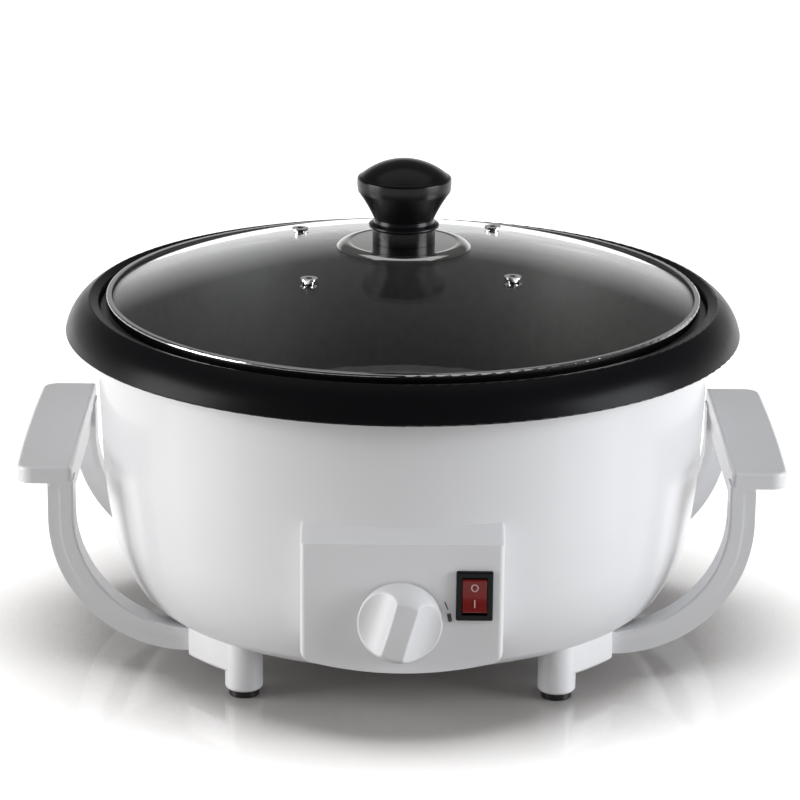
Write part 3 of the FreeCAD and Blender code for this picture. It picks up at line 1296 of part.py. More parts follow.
def lid_ring():
    inner = "ring_radius - ring_lip"
    return revolved("LidRing", [
        (inner, "ring_top"),
        ("ring_radius - ring_round", "ring_top"),
        ("arc", "ring_radius - ring_round * 0.29", "ring_top - ring_round * 0.29"),
        ("ring_radius", "ring_top - ring_round"),
        ("ring_radius", RING_LOW),
        (inner, RING_LOW),
        (inner, RING_LOW + " + ring_sheet"),
        ("ring_radius - ring_sheet", RING_LOW + " + ring_sheet"),
        ("ring_radius - ring_sheet", "ring_top - ring_sheet - 0.5"),
        ("ring_radius - ring_sheet - 0.5", "ring_top - ring_sheet"),
        (inner, "ring_top - ring_sheet"),
    ])


def lid_gasket():
    """A channel of silicone between the glass and the steel ring."""
    return revolved("LidGasket", [
        ("glass_radius", RING_LOW + " + ring_sheet"),
        ("ring_radius - ring_sheet", RING_LOW + " + ring_sheet"),
        ("ring_radius - ring_sheet", "ring_top - ring_sheet - 0.5"),
        ("ring_radius - ring_sheet - 0.5", "ring_top - ring_sheet"),
        ("ring_radius - ring_lip + 0.4", "ring_top - ring_sheet"),
        ("ring_radius - ring_lip + 0.4", "glass_edge + 0.4"),
        ("glass_radius", "glass_edge + 0.1"),
    ])


CUP_TOP = "(glass_apex + 0.1 + cup_thick)"


def knob_cup():
    edge_level = "(glass_apex - (glass_apex - glass_edge) * pow(cup_radius / glass_radius; 2) + 0.15)"
    return revolved("KnobCup", [
        ("lid_hole", "glass_apex + 0.1"),
        ("lid_hole", CUP_TOP),
        ("cup_radius - 6", CUP_TOP + " - 0.2"),
        ("arc", "cup_radius - 1.5", CUP_TOP + " - 0.9"),
        ("cup_radius", edge_level),
        ("cup_radius - 0.9", edge_level),
        ("cup_radius - 3", "glass_apex + 0.1"),
    ])


KNOB_COLLAR = "(%s + knob_foot)" % CUP_TOP
KNOB_WAIST = "(%s + knob_waist_rise)" % KNOB_COLLAR
KNOB_UNDER = "(%s + knob_flare)" % KNOB_WAIST
KNOB_SHOULDER = "(%s + knob_side)" % KNOB_UNDER
KNOB_TOP = "(%s + knob_crown)" % KNOB_SHOULDER


def lid_knob():
    form = revolved("KnobForm", [
        ("0", CUP_TOP),
        ("knob_neck_radius", CUP_TOP),
        ("knob_neck_radius", KNOB_COLLAR + " - 1.4"),
        ("knob_collar_radius", KNOB_COLLAR + " - 0.6"),
        ("arc", "knob_collar_radius + 0.25", KNOB_COLLAR),
        ("knob_collar_radius", KNOB_COLLAR + " + 0.6"),
        ("knob_waist_radius + 0.3", KNOB_COLLAR + " + 1.5"),
        ("knob_waist_radius", KNOB_WAIST),
        ("arc", "(knob_waist_radius + knob_radius) / 2 - 0.6", "(%s + %s) / 2" % (KNOB_WAIST, KNOB_UNDER)),
        ("knob_radius - 0.3", KNOB_UNDER),
        ("arc", "knob_radius", "(%s + %s) / 2" % (KNOB_UNDER, KNOB_SHOULDER)),
        ("knob_radius", KNOB_SHOULDER),
        ("arc", "knob_radius - 0.45", KNOB_SHOULDER + " + 0.85"),
        ("knob_radius - 1.3", KNOB_SHOULDER + " + 1.3"),
        ("arc", "(knob_radius - 1.3) * 0.55", KNOB_TOP + " - (knob_crown - 1.3) * 0.28"),
        ("crown_flat", KNOB_TOP),
        ("0", KNOB_TOP),
    ])
    pilot = cylinder("KnobPilot", "lid_screw_radius", "lid_screw_length + 1", z=CUP_TOP + " - 0.5")
    return cut("LidKnob", form, pilot)


SEAL_LOW = "(glass_apex - glass_thick - 0.3 - lid_seal_thick)"


def lid_seal():
    return tube("LidSeal", "lid_seal_radius", "lid_screw_radius + 0.3", "lid_seal_thick", SEAL_LOW)


def lid_screw():
    low = SEAL_LOW
    shank = cylinder("LidScrewShank", "lid_screw_radius", "%s - %s + lid_screw_length" % (CUP_TOP, low),
                     z=low)
    head = cylinder("LidScrewHead", "lid_screw_radius * 2.6", "2.2", z=low + " - 2.2")
    slot = box("LidScrewSlot", "-0.5", "0.5", "-lid_screw_radius * 3", "lid_screw_radius * 3",
               low + " - 3", low + " - 1.2")
    return cut("LidScrew", fuse("LidScrewSolid", shank, head), slot)


# ---------------------------------------------------------------- electrics and fasteners

def cable_gland():
    start = "(shield_floor_radius + gland_clearance)"
    barrel = cylinder("GlandBarrel", "gland_barrel", "%s - %s + 1" % (GLAND_FACE, start), "0", start,
                      "gland_level", "Y")
    flange = cylinder("GlandFlange", "gland_flange", "gland_proud", "0", GLAND_FACE, "gland_level", "Y")
    mouth = value(GLAND_FACE + " + gland_proud")
    soft = rounded("GlandSoft", flange, "gland_proud / 3", lambda e: at_level(e, "y", mouth))
    bore = cylinder("GlandBore", "gland_bore", "gland_pad * 3", "0", start + " - gland_pad / 2",
                    "gland_level", "Y")
    return cut("CableGland", fuse("GlandSolid", barrel, soft), bore)


def gland_nut():
    outer = cylinder("NutOuter", "gland_flange", "nut_height", "0", GLAND_SEAT + " - nut_height",
                     "gland_level", "Y")
    bore = cylinder("NutBore", "gland_barrel", "nut_height * 3", "0", GLAND_SEAT + " - nut_height * 2",
                    "gland_level", "Y")
    return cut("GlandNut", outer, bore)


def terminal_block():
    block = box("BlockBody", "block_x - block_half_length", "block_x + block_half_length",
                "-block_half_width", "block_half_width", TRAY_LOW, TRAY_LOW + " + block_height")
    holes = [cylinder("BlockHole%d" % index, "block_bore", "block_half_width * 2 + 4",
                      "block_x + %d * block_pitch" % (index - 1), "-block_half_width - 2",
                      TRAY_LOW + " + block_height / 2", "Y")
             for index in range(3)]
    return cut("TerminalBlock", block, *holes)


def thermal_fuse():
    """A cartridge fuse clipped under the shield's floor."""
    return cylinder("ThermalFuse", "fuse_radius", "fuse_length", "fuse_x - fuse_length / 2", "fuse_y",
                    "shield_floor - fuse_drop", "X")


def fuse_clip():
    half = "fuse_radius * 1.5"
    strap = box("FuseStrap", "fuse_x - " + half, "fuse_x + " + half, "fuse_y - " + half, "fuse_y + " + half,
                "shield_floor - fuse_drop - 2.8", "shield_floor")
    gap = cylinder("FuseStrapBore", "fuse_radius", "fuse_length * 2", "fuse_x - fuse_length", "fuse_y",
                   "shield_floor - fuse_drop", "X")
    return cut("FuseClip", strap, gap)


def base_screws():
    return group("BaseScrews", [
        screw("BaseScrew%d" % index, x, y, "base_level", "wall + boss_height - 4", head_below=True)
        for index, (x, y) in enumerate(quarters("base_screw_ring", "base_screw_turn"))
    ])


def handle_screws():
    return group("HandleScrews", [
        screw("HandleScrew%s%s" % (end, side), *handle_screw_place(sx, sy),
              "block_low + screw_head_height", "tenon_low - block_low - screw_head_height + 4",
              head_below=True)
        for end, side, sx, sy in SIDES
    ])


def shield_screws():
    return group("ShieldScrews", [
        screw("ShieldScrew%d" % index, x, y, "shield_floor + shield_sheet - 10", "10")
        for index, (x, y) in enumerate(quarters("post_ring_radius", "45"))
    ])


def gearbox_screws():
    low = "base_level + 0.5"
    return group("GearboxScrews", [
        screw("GearboxScrew%d" % index, x, y, low, "%s + tray_wall - (%s)" % (TRAY_TOP, low))
        for index, (x, y) in enumerate(TRAY_SCREWS)
    ])


def panel_screws():
    """Driven from inside the shell into the panel's bosses."""
    items = []
    for index, (x, z) in enumerate(PANEL_SCREWS):
        seat = panel_screw_seat(x)
        length = "panel_face - panel_wall - 1 + (%s)" % seat
        items.append(cylinder("PanelShank%d" % index, "screw_radius", length,
                              x, "-panel_face + panel_wall + 1", z, "Y"))
        items.append(cylinder("PanelHead%d" % index, "screw_head_radius", "screw_head_height",
                              x, seat, z, "Y"))
    return group("PanelScrews", [fuse("PanelScrew%d" % n, items[2 * n], items[2 * n + 1]) for n in (0, 1)])


# ---------------------------------------------------------------- assembly

def build():
    piece("body_shell", body_shell())
    piece("base_cover", base_cover())
    piece("rim_bezel", rim_bezel())
    for end, side, sx, sy in SIDES:
        piece("foot_%s_%s" % (end.lower(), side.lower()), rubber_foot(end + side, sx, sy))
    right = piece("handle_right", handle_right())
    piece("handle_left", mirrored("HandleLeft", right))
    piece("roasting_pan", roasting_pan())
    piece("heating_element", heating_element())
    piece("element_terminals", element_terminals())
    piece("element_clips", element_clips())
    piece("heat_shield", heat_shield())
    piece("output_gear", output_gear())
    piece("idler_gear", idler_gear())
    piece("magnet_rotor", magnet_rotor())
    piece("gearbox_tray", gearbox_tray())
    piece("gearbox_cover", gearbox_cover())
    piece("idler_pin", idler_pin())
    piece("stator_stack", stator())
    piece("stator_coil", stator_coil())
    piece("drive_shaft", flatted_rod("DriveShaft", "shaft_low"))
    piece("gearbox_bush", tube("GearboxBush", "bush_radius", "shaft_radius + run_gap", "bush_height",
                               TRAY_TOP + " - 1"))
    piece("pan_bush", tube("PanBush", "collar_bore", "shaft_radius + run_gap",
                           "collar_top - pan_floor + pan_sheet", "pan_floor - pan_sheet"))
    piece("shaft_seal", shaft_seal())
    piece("stirrer_hub", stirrer_hub())
    for tag, sx in PADDLES:
        piece("paddle_" + tag.lower(), paddle_solid("Paddle" + tag, sx))
    piece("control_panel", control_panel())
    piece("temperature_dial", temperature_dial())
    piece("dial_shaft", dial_shaft())
    piece("thermostat", thermostat())
    piece("switch_body", switch_body())
    piece("switch_rocker", switch_rocker())
    piece("glass_lid", glass_lid())
    piece("lid_ring", lid_ring())
    piece("lid_gasket", lid_gasket())
    piece("vent_grommets", vent_grommets())
    piece("knob_cup", knob_cup())
    piece("lid_knob", lid_knob())
    piece("lid_seal", lid_seal())
    piece("lid_screw", lid_screw())
    piece("cable_gland", cable_gland())
    piece("gland_nut", gland_nut())
    piece("terminal_block", terminal_block())
    piece("thermal_fuse", thermal_fuse())
    piece("fuse_clip", fuse_clip())
    piece("base_screws", base_screws())
    piece("handle_screws", handle_screws())
    piece("shield_screws", shield_screws())
    piece("gearbox_screws", gearbox_screws())
    piece("panel_screws", panel_screws())
    DOC.recompute()


def check():
    """Stops if any object failed or any sub-part is missing or broken."""
    faults = []
    for item in DOC.Objects:
        if {"Invalid", "Error"} & set(item.State):
            faults.append("%s failed: %s" % (item.Name, item.State))
    for name, item in PIECES.items():
        if item.Shape.isNull() or not item.Shape.isValid() or not item.Shape.Solids:
            faults.append("%s has no valid solid" % name)
    if faults:
        raise RuntimeError("\n".join(faults))


def export():
    os.makedirs("parts", exist_ok=True)
    for name, item in PIECES.items():
        item.Shape.exportStep(os.path.join("parts", name + ".step"))
        print("%-20s solids %d, volume %.1f" % (name, len(item.Shape.Solids), item.Shape.Volume))


build()
check()
export()
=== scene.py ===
"""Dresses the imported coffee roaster: materials, dial, switch marks, studio and camera.

Everything is in metres in the frame of the CAD model: +Z up, the control panel faces -Y.
"""
import bmesh
import bpy
import json
import math
from mathutils import Matrix, Vector

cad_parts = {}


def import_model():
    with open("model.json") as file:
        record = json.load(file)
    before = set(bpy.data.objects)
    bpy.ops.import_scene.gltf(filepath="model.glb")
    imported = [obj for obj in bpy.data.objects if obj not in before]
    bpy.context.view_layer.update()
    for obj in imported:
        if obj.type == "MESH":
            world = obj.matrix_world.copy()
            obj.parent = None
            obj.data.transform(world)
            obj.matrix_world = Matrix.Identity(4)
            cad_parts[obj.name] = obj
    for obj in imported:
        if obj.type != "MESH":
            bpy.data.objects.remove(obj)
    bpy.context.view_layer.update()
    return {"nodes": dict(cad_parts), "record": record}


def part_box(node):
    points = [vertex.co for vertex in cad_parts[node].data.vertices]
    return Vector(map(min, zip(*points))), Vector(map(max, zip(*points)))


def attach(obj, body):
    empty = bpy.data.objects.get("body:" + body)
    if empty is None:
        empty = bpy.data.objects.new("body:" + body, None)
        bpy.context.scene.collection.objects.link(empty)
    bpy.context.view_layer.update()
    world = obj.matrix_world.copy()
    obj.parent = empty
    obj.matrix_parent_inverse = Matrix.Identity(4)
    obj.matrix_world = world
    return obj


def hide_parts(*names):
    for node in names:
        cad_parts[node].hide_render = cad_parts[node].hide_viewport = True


MM = 0.001
WHITE = (1.0, 1.0, 1.0, 1.0)


# ---------------------------------------------------------------- objects and meshes

def add_object(name, data):
    """Puts an object with a mesh, light or camera into the scene."""
    added = bpy.data.objects.new(name, data)
    bpy.context.scene.collection.objects.link(added)
    return added


def add_piece(name, mesh, material, body):
    """Adds a mesh as a piece that moves with a body and wears the material it is given."""
    piece = add_object(name, mesh)
    mesh.materials.append(material)
    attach(piece, body)
    return piece


def lathe_mesh(name, rings):
    """A smooth mesh over rings of points that all have the same number of points."""
    count = len(rings[0])
    faces = []
    for low in range(0, count * (len(rings) - 1), count):
        for step in range(count):
            beside = (step + 1) % count
            faces.append((low + step, low + beside, low + count + beside, low + count + step))
    mesh = bpy.data.meshes.new(name)
    mesh.from_pydata([point for ring in rings for point in ring], [], faces)
    mesh.shade_smooth()
    return mesh


def close_holes(mesh):
    """Fills open ends and turns every face outwards."""
    shape = bmesh.new()
    shape.from_mesh(mesh)
    open_edges = [edge for edge in shape.edges if edge.is_boundary]
    bmesh.ops.holes_fill(shape, edges=open_edges)
    bmesh.ops.recalc_face_normals(shape, faces=shape.faces)
    shape.to_mesh(mesh)
    shape.free()


def tube_mesh(name, points, radius, closed):
    """A thin round bead along some points; a closed one ends where it starts."""
    curve = bpy.data.curves.new(name, "CURVE")
    curve.dimensions = "3D"
    line = curve.splines.new("POLY")
    line.points.add(len(points) - 1)
    for spot, place in zip(line.points, points):
        spot.co = (*place, 1.0)
    line.use_cyclic_u = closed
    curve.bevel_depth = radius
    curve.bevel_resolution = 2
    holder = bpy.data.objects.new(name, curve)
    mesh = bpy.data.meshes.new_from_object(holder)
    bpy.data.objects.remove(holder)
    bpy.data.curves.remove(curve)
    mesh.shade_smooth()
    return mesh


# ---------------------------------------------------------------- shading

class Shading:
    """A node tree, with short ways to add nodes to it and to join them."""

    def __init__(self, tree):
        self.tree = tree

    def feed(self, socket, term):
        """Gives a socket another node's output or a plain value."""
        if isinstance(term, bpy.types.NodeSocket):
            self.tree.links.new(term, socket)
        else:
            socket.default_value = term

    def node(self, kind, **inputs):
        """A new node with some of its sockets fed."""
        made = self.tree.nodes.new(kind)
        for socket, term in inputs.items():
            self.feed(made.inputs[socket], term)
        return made

    def math(self, operation, *terms):
        """One sum, product or comparison of outputs and numbers."""
        made = self.node("ShaderNodeMath")
        made.operation = operation
        for socket, term in zip(made.inputs, terms):
            self.feed(socket, term)
        return made.outputs["Value"]

    def rescale(self, value, source, target):
        """Carries a value from one range to another; each range is its first and last number."""
        made = self.node("ShaderNodeMapRange", Value=value, **{
            "From Min": source[0], "From Max": source[1], "To Min": target[0], "To Max": target[1],
        })
        return made.outputs["Result"]

    def choose(self, share, off, on):
        """off where the share is 0 and on where it is 1."""
        return self.node("ShaderNodeMix", Factor=share, A=off, B=on).outputs["Result"]

    def light_path(self, fact):
        return self.node("ShaderNodeLightPath").outputs[fact]

    def seen_directly(self):
        """1 on a ray from the camera, also one that has passed through glass, and 0 on others."""
        matt, glossy = self.light_path("Diffuse Depth"), self.light_path("Glossy Depth")
        bounces = self.math("ADD", matt, glossy)
        unbounced = self.math("LESS_THAN", bounces, 0.5)
        through = self.math("MULTIPLY", unbounced, self.light_path("Is Transmission Ray"))
        return self.math("MAXIMUM", self.light_path("Is Camera Ray"), through)


class Look(Shading):
    """One procedural material: a Principled shader with noise in its colour, gloss and relief."""

    def __init__(self, name, colour, rough, metal=0.0, coat=0.0, specular=0.5):
        self.material = bpy.data.materials.new(name)
        self.material.use_nodes = True
        super().__init__(self.material.node_tree)
        self.shader = self.tree.nodes["Principled BSDF"]
        self.colour = colour
        self.rough = rough
        self.set("Base Color", (*colour, 1.0))
        self.set("Roughness", rough)
        self.set("Metallic", metal)
        self.set("Coat Weight", coat)
        self.set("Specular IOR Level", specular)
        self.place = self.node("ShaderNodeTexCoord").outputs["Object"]

    def set(self, socket, term):
        self.feed(self.shader.inputs[socket], term)

    def noise(self, scale, detail, stretch=(1.0, 1.0, 1.0)):
        """Noise whose grains are about 1/scale metres; stretch squeezes it along each axis."""
        place = self.node("ShaderNodeMapping", Vector=self.place, Scale=stretch).outputs["Vector"]
        made = self.node("ShaderNodeTexNoise", Vector=place, Scale=scale, Detail=detail)
        return made.outputs["Fac"]

    def bands(self, scale, distortion, direction):
        """Even bands that follow each other along one axis."""
        made = self.node("ShaderNodeTexWave", Vector=self.place, Scale=scale, Distortion=distortion)
        made.bands_direction = direction
        return made.outputs["Fac"]

    def vary_colour(self, factor, share):
        """Lets the colour swing by a share either way."""
        mix = self.node("ShaderNodeMix")
        mix.data_type = "RGBA"
        for socket, swing in (("A", 1 - share), ("B", 1 + share)):
            colour = [min(part * swing, 1.0) for part in self.colour]
            self.feed(mix.inputs[socket], (*colour, 1.0))
        self.feed(mix.inputs["Factor"], factor)
        self.set("Base Color", mix.outputs["Result"])

    def vary_gloss(self, factor, swing):
        """Lets the roughness swing by an amount either way."""
        least = max(self.rough - swing, 0.0)
        self.set("Roughness", self.rescale(factor, (0.0, 1.0), (least, self.rough + swing)))

    def relief(self, factor, height):
        """Raises the surface by up to a height in metres."""
        bump = self.node("ShaderNodeBump", Height=factor, Strength=1.0, Distance=height)
        self.set("Normal", bump.outputs["Normal"])


# ---------------------------------------------------------------- materials

# Injection-moulded slots. grain is the skin's fineness and height its depth.
MOULDED = {
    "white_shell": dict(colour=(0.80, 0.80, 0.815), rough=0.30, coat=0.25),
    "black_rim": dict(
        colour=(0.006, 0.006, 0.007), rough=0.30, grain=2200.0, vary=0.10, specular=0.09),
    "black_rubber": dict(
        colour=(0.010, 0.010, 0.010), rough=0.32, grain=900.0, height=0.020 * MM, vary=0.15),
    "black_knob": dict(
        colour=(0.005, 0.005, 0.006), rough=0.24, grain=2600.0, height=0.008 * MM, vary=0.10,
        specular=0.25),
    "white_dial": dict(
        colour=(0.76, 0.76, 0.775), rough=0.34, height=0.004 * MM, coat=0.08, specular=0.4),
    "black_switch": dict(
        colour=(0.005, 0.006, 0.007), rough=0.36, grain=1800.0, vary=0.10, specular=0.14),
    "red_rocker": dict(
        colour=(0.19, 0.014, 0.012), rough=0.26, height=0.006 * MM, coat=0.1, vary=0.08,
        specular=0.2),
    "grey_silicone": dict(
        colour=(0.05, 0.05, 0.05), rough=0.55, grain=800.0, height=0.030 * MM, vary=0.08),
    "stirrer_plastic": dict(
        colour=(0.03, 0.03, 0.033), rough=0.45, grain=1200.0, height=0.030 * MM, vary=0.2),
    "acetal": dict(colour=(0.76, 0.74, 0.68), rough=0.35, vary=0.03),
    "gearbox_plastic": dict(colour=(0.17, 0.175, 0.185), rough=0.45, vary=0.06),
}

# Slots with a mottled colour and pores. blotches and pores are a noise's scale and detail.
MOTTLED = {
    "ceramic": dict(
        colour=(0.74, 0.71, 0.63), rough=0.6,
        blotches=(500.0, 6.0), vary=0.08, pores=(1400.0, 4.0), height=0.040 * MM),
    "dark_steel": dict(
        colour=(0.16, 0.145, 0.135), rough=0.45, metal=1.0,
        blotches=(120.0, 6.0), vary=0.35, pores=(900.0, 3.0), height=0.020 * MM),
    "magnet": dict(
        colour=(0.045, 0.045, 0.048), rough=0.6,
        blotches=(600.0, 5.0), vary=0.3, pores=(1500.0, 3.0), height=0.040 * MM),
    "bronze": dict(
        colour=(0.42, 0.25, 0.10), rough=0.42, metal=1.0,
        blotches=(700.0, 5.0), vary=0.2, pores=(1800.0, 3.0), height=0.030 * MM),
    "pan_metal": dict(
        colour=(0.075, 0.072, 0.070), rough=0.36, metal=0.2,
        blotches=(220.0, 5.0), vary=0.25, pores=(1600.0, 3.0), height=0.020 * MM, gloss=0.08),
}


def moulded(name, colour, rough, grain=1500.0, height=0.012 * MM, vary=0.012, coat=0.0,
            specular=0.5):
    """Injection-moulded plastic: a fine even skin with faint flow marks."""
    look = Look(name, colour, rough, coat=coat, specular=specular)
    flow_marks = look.noise(14.0, 2.0, stretch=(1.0, 1.0, 0.35))
    dull_patches = look.noise(60.0, 4.0)
    skin = look.noise(grain, 2.0)
    look.vary_colour(flow_marks, vary)
    look.vary_gloss(dull_patches, 0.03)
    look.relief(skin, height)
    return look.material


def mottled(name, colour, rough, blotches, vary, pores, height, metal=0.0, gloss=0.0):
    """Fired, cast or coated stuff with blotches in its colour and fine pores."""
    look = Look(name, colour, rough, metal=metal)
    look.vary_colour(look.noise(*blotches), vary)
    look.relief(look.noise(*pores), height)
    if gloss:
        dull_patches = look.noise(90.0, 4.0)
        look.vary_gloss(dull_patches, gloss)
    return look.material


def clear_glass():
    """Tempered glass that lets lamps shine through it onto what it covers."""
    look = Look("clear_glass", (0.96, 0.98, 0.97), 0.0)
    look.set("Transmission Weight", 1.0)
    look.set("IOR", 1.45)
    look.vary_gloss(look.noise(30.0, 2.0), 0.004)
    clear = look.node("ShaderNodeBsdfTransparent")
    mix = look.node("ShaderNodeMixShader", Fac=look.light_path("Is Shadow Ray"))
    look.feed(mix.inputs[1], look.shader.outputs["BSDF"])
    look.feed(mix.inputs[2], clear.outputs["BSDF"])
    look.feed(look.tree.nodes["Material Output"].inputs["Surface"], mix.outputs["Shader"])
    return look.material


def bright_steel():
    """Polished steel, spun, so its faint lines run round the axis."""
    look = Look("bright_steel", (0.72, 0.71, 0.70), 0.10, metal=1.0)
    wave = look.node("ShaderNodeTexWave", Vector=look.place, Scale=900.0, Distortion=1.0)
    wave.wave_type = "RINGS"
    wave.rings_direction = "Z"
    rings = wave.outputs["Fac"]
    tarnish = look.noise(40.0, 3.0)
    look.vary_colour(tarnish, 0.06)
    look.vary_gloss(rings, 0.03)
    look.relief(rings, 0.002 * MM)
    return look.material


def zinc_steel():
    """Zinc plate with its faint crystal patches."""
    look = Look("zinc_steel", (0.50, 0.51, 0.53), 0.34, metal=1.0)
    cells = look.node("ShaderNodeTexVoronoi", Vector=look.place, Scale=260.0).outputs["Distance"]
    look.vary_colour(cells, 0.14)
    look.vary_gloss(cells, 0.07)
    return look.material


def stirrer_steel():
    """Steel strip with fine drawing lines along X."""
    look = Look("stirrer_steel", (0.55, 0.55, 0.55), 0.28, metal=1.0)
    lines = look.noise(400.0, 3.0, stretch=(0.06, 1.0, 1.0))
    look.vary_colour(lines, 0.08)
    look.vary_gloss(lines, 0.06)
    look.relief(lines, 0.006 * MM)
    return look.material


def iron():
    """Stacked sheets that lie level."""
    look = Look("iron", (0.13, 0.13, 0.14), 0.5, metal=0.9)
    sheets = look.bands(320.0, 0.2, "Z")
    look.vary_colour(sheets, 0.3)
    look.relief(sheets, 0.080 * MM)
    return look.material


def copper_coil():
    """Windings of thin lacquered wire."""
    look = Look("copper_coil", (0.50, 0.17, 0.05), 0.25, metal=0.9, coat=0.4)
    turns = look.bands(520.0, 0.4, "Y")
    look.vary_colour(turns, 0.3)
    look.relief(turns, 0.150 * MM)
    return look.material


def dress_nodes(frame):
    """Gives each CAD node the finish of its material slot, and returns the finishes by slot."""
    looks = {slot: moulded(slot, **finish) for slot, finish in MOULDED.items()}
    looks.update((slot, mottled(slot, **finish)) for slot, finish in MOTTLED.items())
    for make in (clear_glass, bright_steel, zinc_steel, stirrer_steel, iron, copper_coil):
        looks[make.__name__] = make()
    for part in frame["record"]["subparts"]:
        for holder in frame["nodes"][part["node"]].material_slots:
            holder.material = looks[part["material_slot"]]
    return looks


# ---------------------------------------------------------------- dial

DIAL_LEAN = math.radians(16)    # how far the grip bar is turned from upright
DIAL_SKIRT = 1.2 * MM           # height of the upright edge at the back
DIAL_SIDE_SLOPE = 0.38          # how far the side runs in for its rise
DIAL_CROWN = 1.4 * MM           # how much the dome falls from its middle to its edge
DIAL_SHOULDER = 4.5 * MM        # width of the rounding between side and dome
DIAL_LIP = 1.1 * MM             # width of the rounding along a hollow's edge
SCOOP_RADIUS = 16.0 * MM        # the hollow on each side of the bar is part of a cylinder
SCOOP_AWAY = 19.8 * MM          # the cylinder's axis, from the dial's middle
SCOOP_RISE = 17.6 * MM          # and its height above the dial's back
LEAST_SKIRT = 0.6               # share of the skirt that stays where a hollow runs out of the side
DIAL_RINGS = 72
DIAL_STEPS = 180
FIRST_RING = 0.002              # share of the radius

# Rings from the face's edge round to the back, as shares of the edge's radius and height.
BACK_RINGS = ((1.0, LEAST_SKIRT), (0.99, 0.0), (0.3, 0.0))


def soft_least(a, b, blend):
    """The smaller of two heights, with a rounded change from one to the other."""
    share = min(max(0.5 + (b - a) / (2 * blend), 0.0), 1.0)
    return b + (a - b) * share - blend * share * (1 - share)


def dial_height(across, along, radius, tall):
    """Height of the dial above its back at a place on its face, in metres."""
    reach = math.hypot(across, along)
    side = DIAL_SKIRT + max(radius - reach, 0.0) / DIAL_SIDE_SLOPE
    crown = tall - DIAL_CROWN * (reach / radius) ** 2
    dome = soft_least(side, crown, DIAL_SHOULDER)
    beside = min(abs(abs(across) - SCOOP_AWAY) / SCOOP_RADIUS, 1.0)
    hollow = SCOOP_RISE - SCOOP_RADIUS * math.sqrt(1 - beside * beside)
    return max(soft_least(dome, hollow, DIAL_LIP), DIAL_SKIRT * LEAST_SKIRT)


def dial_ring(reach, radius, tall):
    """The points of the dial's face at one distance from its middle."""
    ring = []
    for step in range(DIAL_STEPS):
        turn = 2 * math.pi * step / DIAL_STEPS
        across, along = reach * math.cos(turn), reach * math.sin(turn)
        ring.append((across, along, dial_height(across, along, radius, tall)))
    return ring


def temperature_dial(looks):
    """A knob that is hollowed on both sides of a grip bar, with every edge rounded."""
    low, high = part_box("temperature_dial")
    radius = (high.x - low.x) / 2
    tall = high.y - low.y
    rings = []
    for number in range(DIAL_RINGS + 1):
        share = max(math.sin(math.pi / 2 * number / DIAL_RINGS), FIRST_RING)
        rings.append(dial_ring(radius * share, radius, tall))
    edge = rings[-1]
    for out, up in BACK_RINGS:
        rings.append([(x * out, y * out, z * up) for x, y, z in edge])
    mesh = lathe_mesh("temperature_dial_skin", rings)
    face_out = Matrix.Rotation(math.radians(90), 4, "X")
    lean = Matrix.Rotation(DIAL_LEAN, 4, "Y")
    back = Matrix.Translation(((low.x + high.x) / 2, high.y, (low.z + high.z) / 2))
    mesh.transform(back @ lean @ face_out)
    close_holes(mesh)
    dial = add_piece("dial_skin", mesh, looks["white_dial"], "dial")
    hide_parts("temperature_dial")


# ---------------------------------------------------------------- painted marks

# The rocker's face is hollow along its height. Lengths are in mm from its pivot.
ROCKER_PIVOT = (-133.4, 65.8)    # Y and Z in the model
ROCKER_TIP = math.radians(-6)    # how far it is tipped at rest
ROCKER_REACH = 7.9
ROCKER_DIP = 1.5
ROCKER_HALF = 6.8
RING_MIDDLE = 3.4
RING_HALF_WIDTH = 1.3
RING_HALF_HEIGHT = 1.45
RING_STEPS = 40
BAR_HEIGHTS = (-1.6, -2.4, -3.2, -4.0, -4.8)
MARK_RADIUS = 0.26

# Each line on the panel beside the dial: its two ends as X and Z, and its radius, in mm.
PANEL_TICKS = {
    "panel_tick": (((19.0, 57.8), (19.7, 54.5)), 0.76),
    "panel_tick_tail": (((17.3, 62.8), (18.7, 59.6)), 0.20),
}


def rocker_face(across, height):
    """A point on the rocker's hollow face, in mm from its pivot, before it is tipped."""
    dip = ROCKER_DIP * (1 - (height / ROCKER_HALF) ** 2)
    return Vector((across, dip - ROCKER_REACH, height))


def switch_marks():
    """The generic O and I of a mains switch, painted on the rocker."""
    low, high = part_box("switch_rocker")
    pivot = Vector(((low.x + high.x) / 2, *(part * MM for part in ROCKER_PIVOT)))
    tip = Matrix.Rotation(ROCKER_TIP, 3, "X") * MM
    ring = []
    for step in range(RING_STEPS):
        turn = 2 * math.pi * step / RING_STEPS
        up = RING_MIDDLE + RING_HALF_HEIGHT * math.sin(turn)
        ring.append((RING_HALF_WIDTH * math.cos(turn), up))
    bar = [(0.0, height) for height in BAR_HEIGHTS]
    paint = moulded("mark_paint", (0.62, 0.40, 0.38), 0.45, vary=0.05)
    for name, spots, closed in (("mark_off", ring, True), ("mark_on", bar, False)):
        points = [pivot + tip @ rocker_face(*spot) for spot in spots]
        mesh = tube_mesh(name, points, MARK_RADIUS * MM, closed)
        add_piece(name, mesh, paint, "rocker")


def panel_ticks():
    """The short black line beside the dial that its pointer is read against, and its thin tail."""
    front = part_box("control_panel")[0].y
    paint = moulded("black_paint", (0.01, 0.01, 0.01), 0.5, vary=0.05)
    for name, (spots, radius) in PANEL_TICKS.items():
        points = [(x * MM, front, z * MM) for x, z in spots]
        mesh = tube_mesh(name, points, radius * MM, False)
        add_piece(name, mesh, paint, "casing")


# ---------------------------------------------------------------- studio

FLOOR_HALF = 4.0
FLOOR_SHADE_REACH = 0.13             # how far away the roaster shades the floor
FLOOR_SHADE_SAMPLES = 32
FLOOR_SHADE = (0.44, 0.86)           # openness at which the floor is dark, and plain white

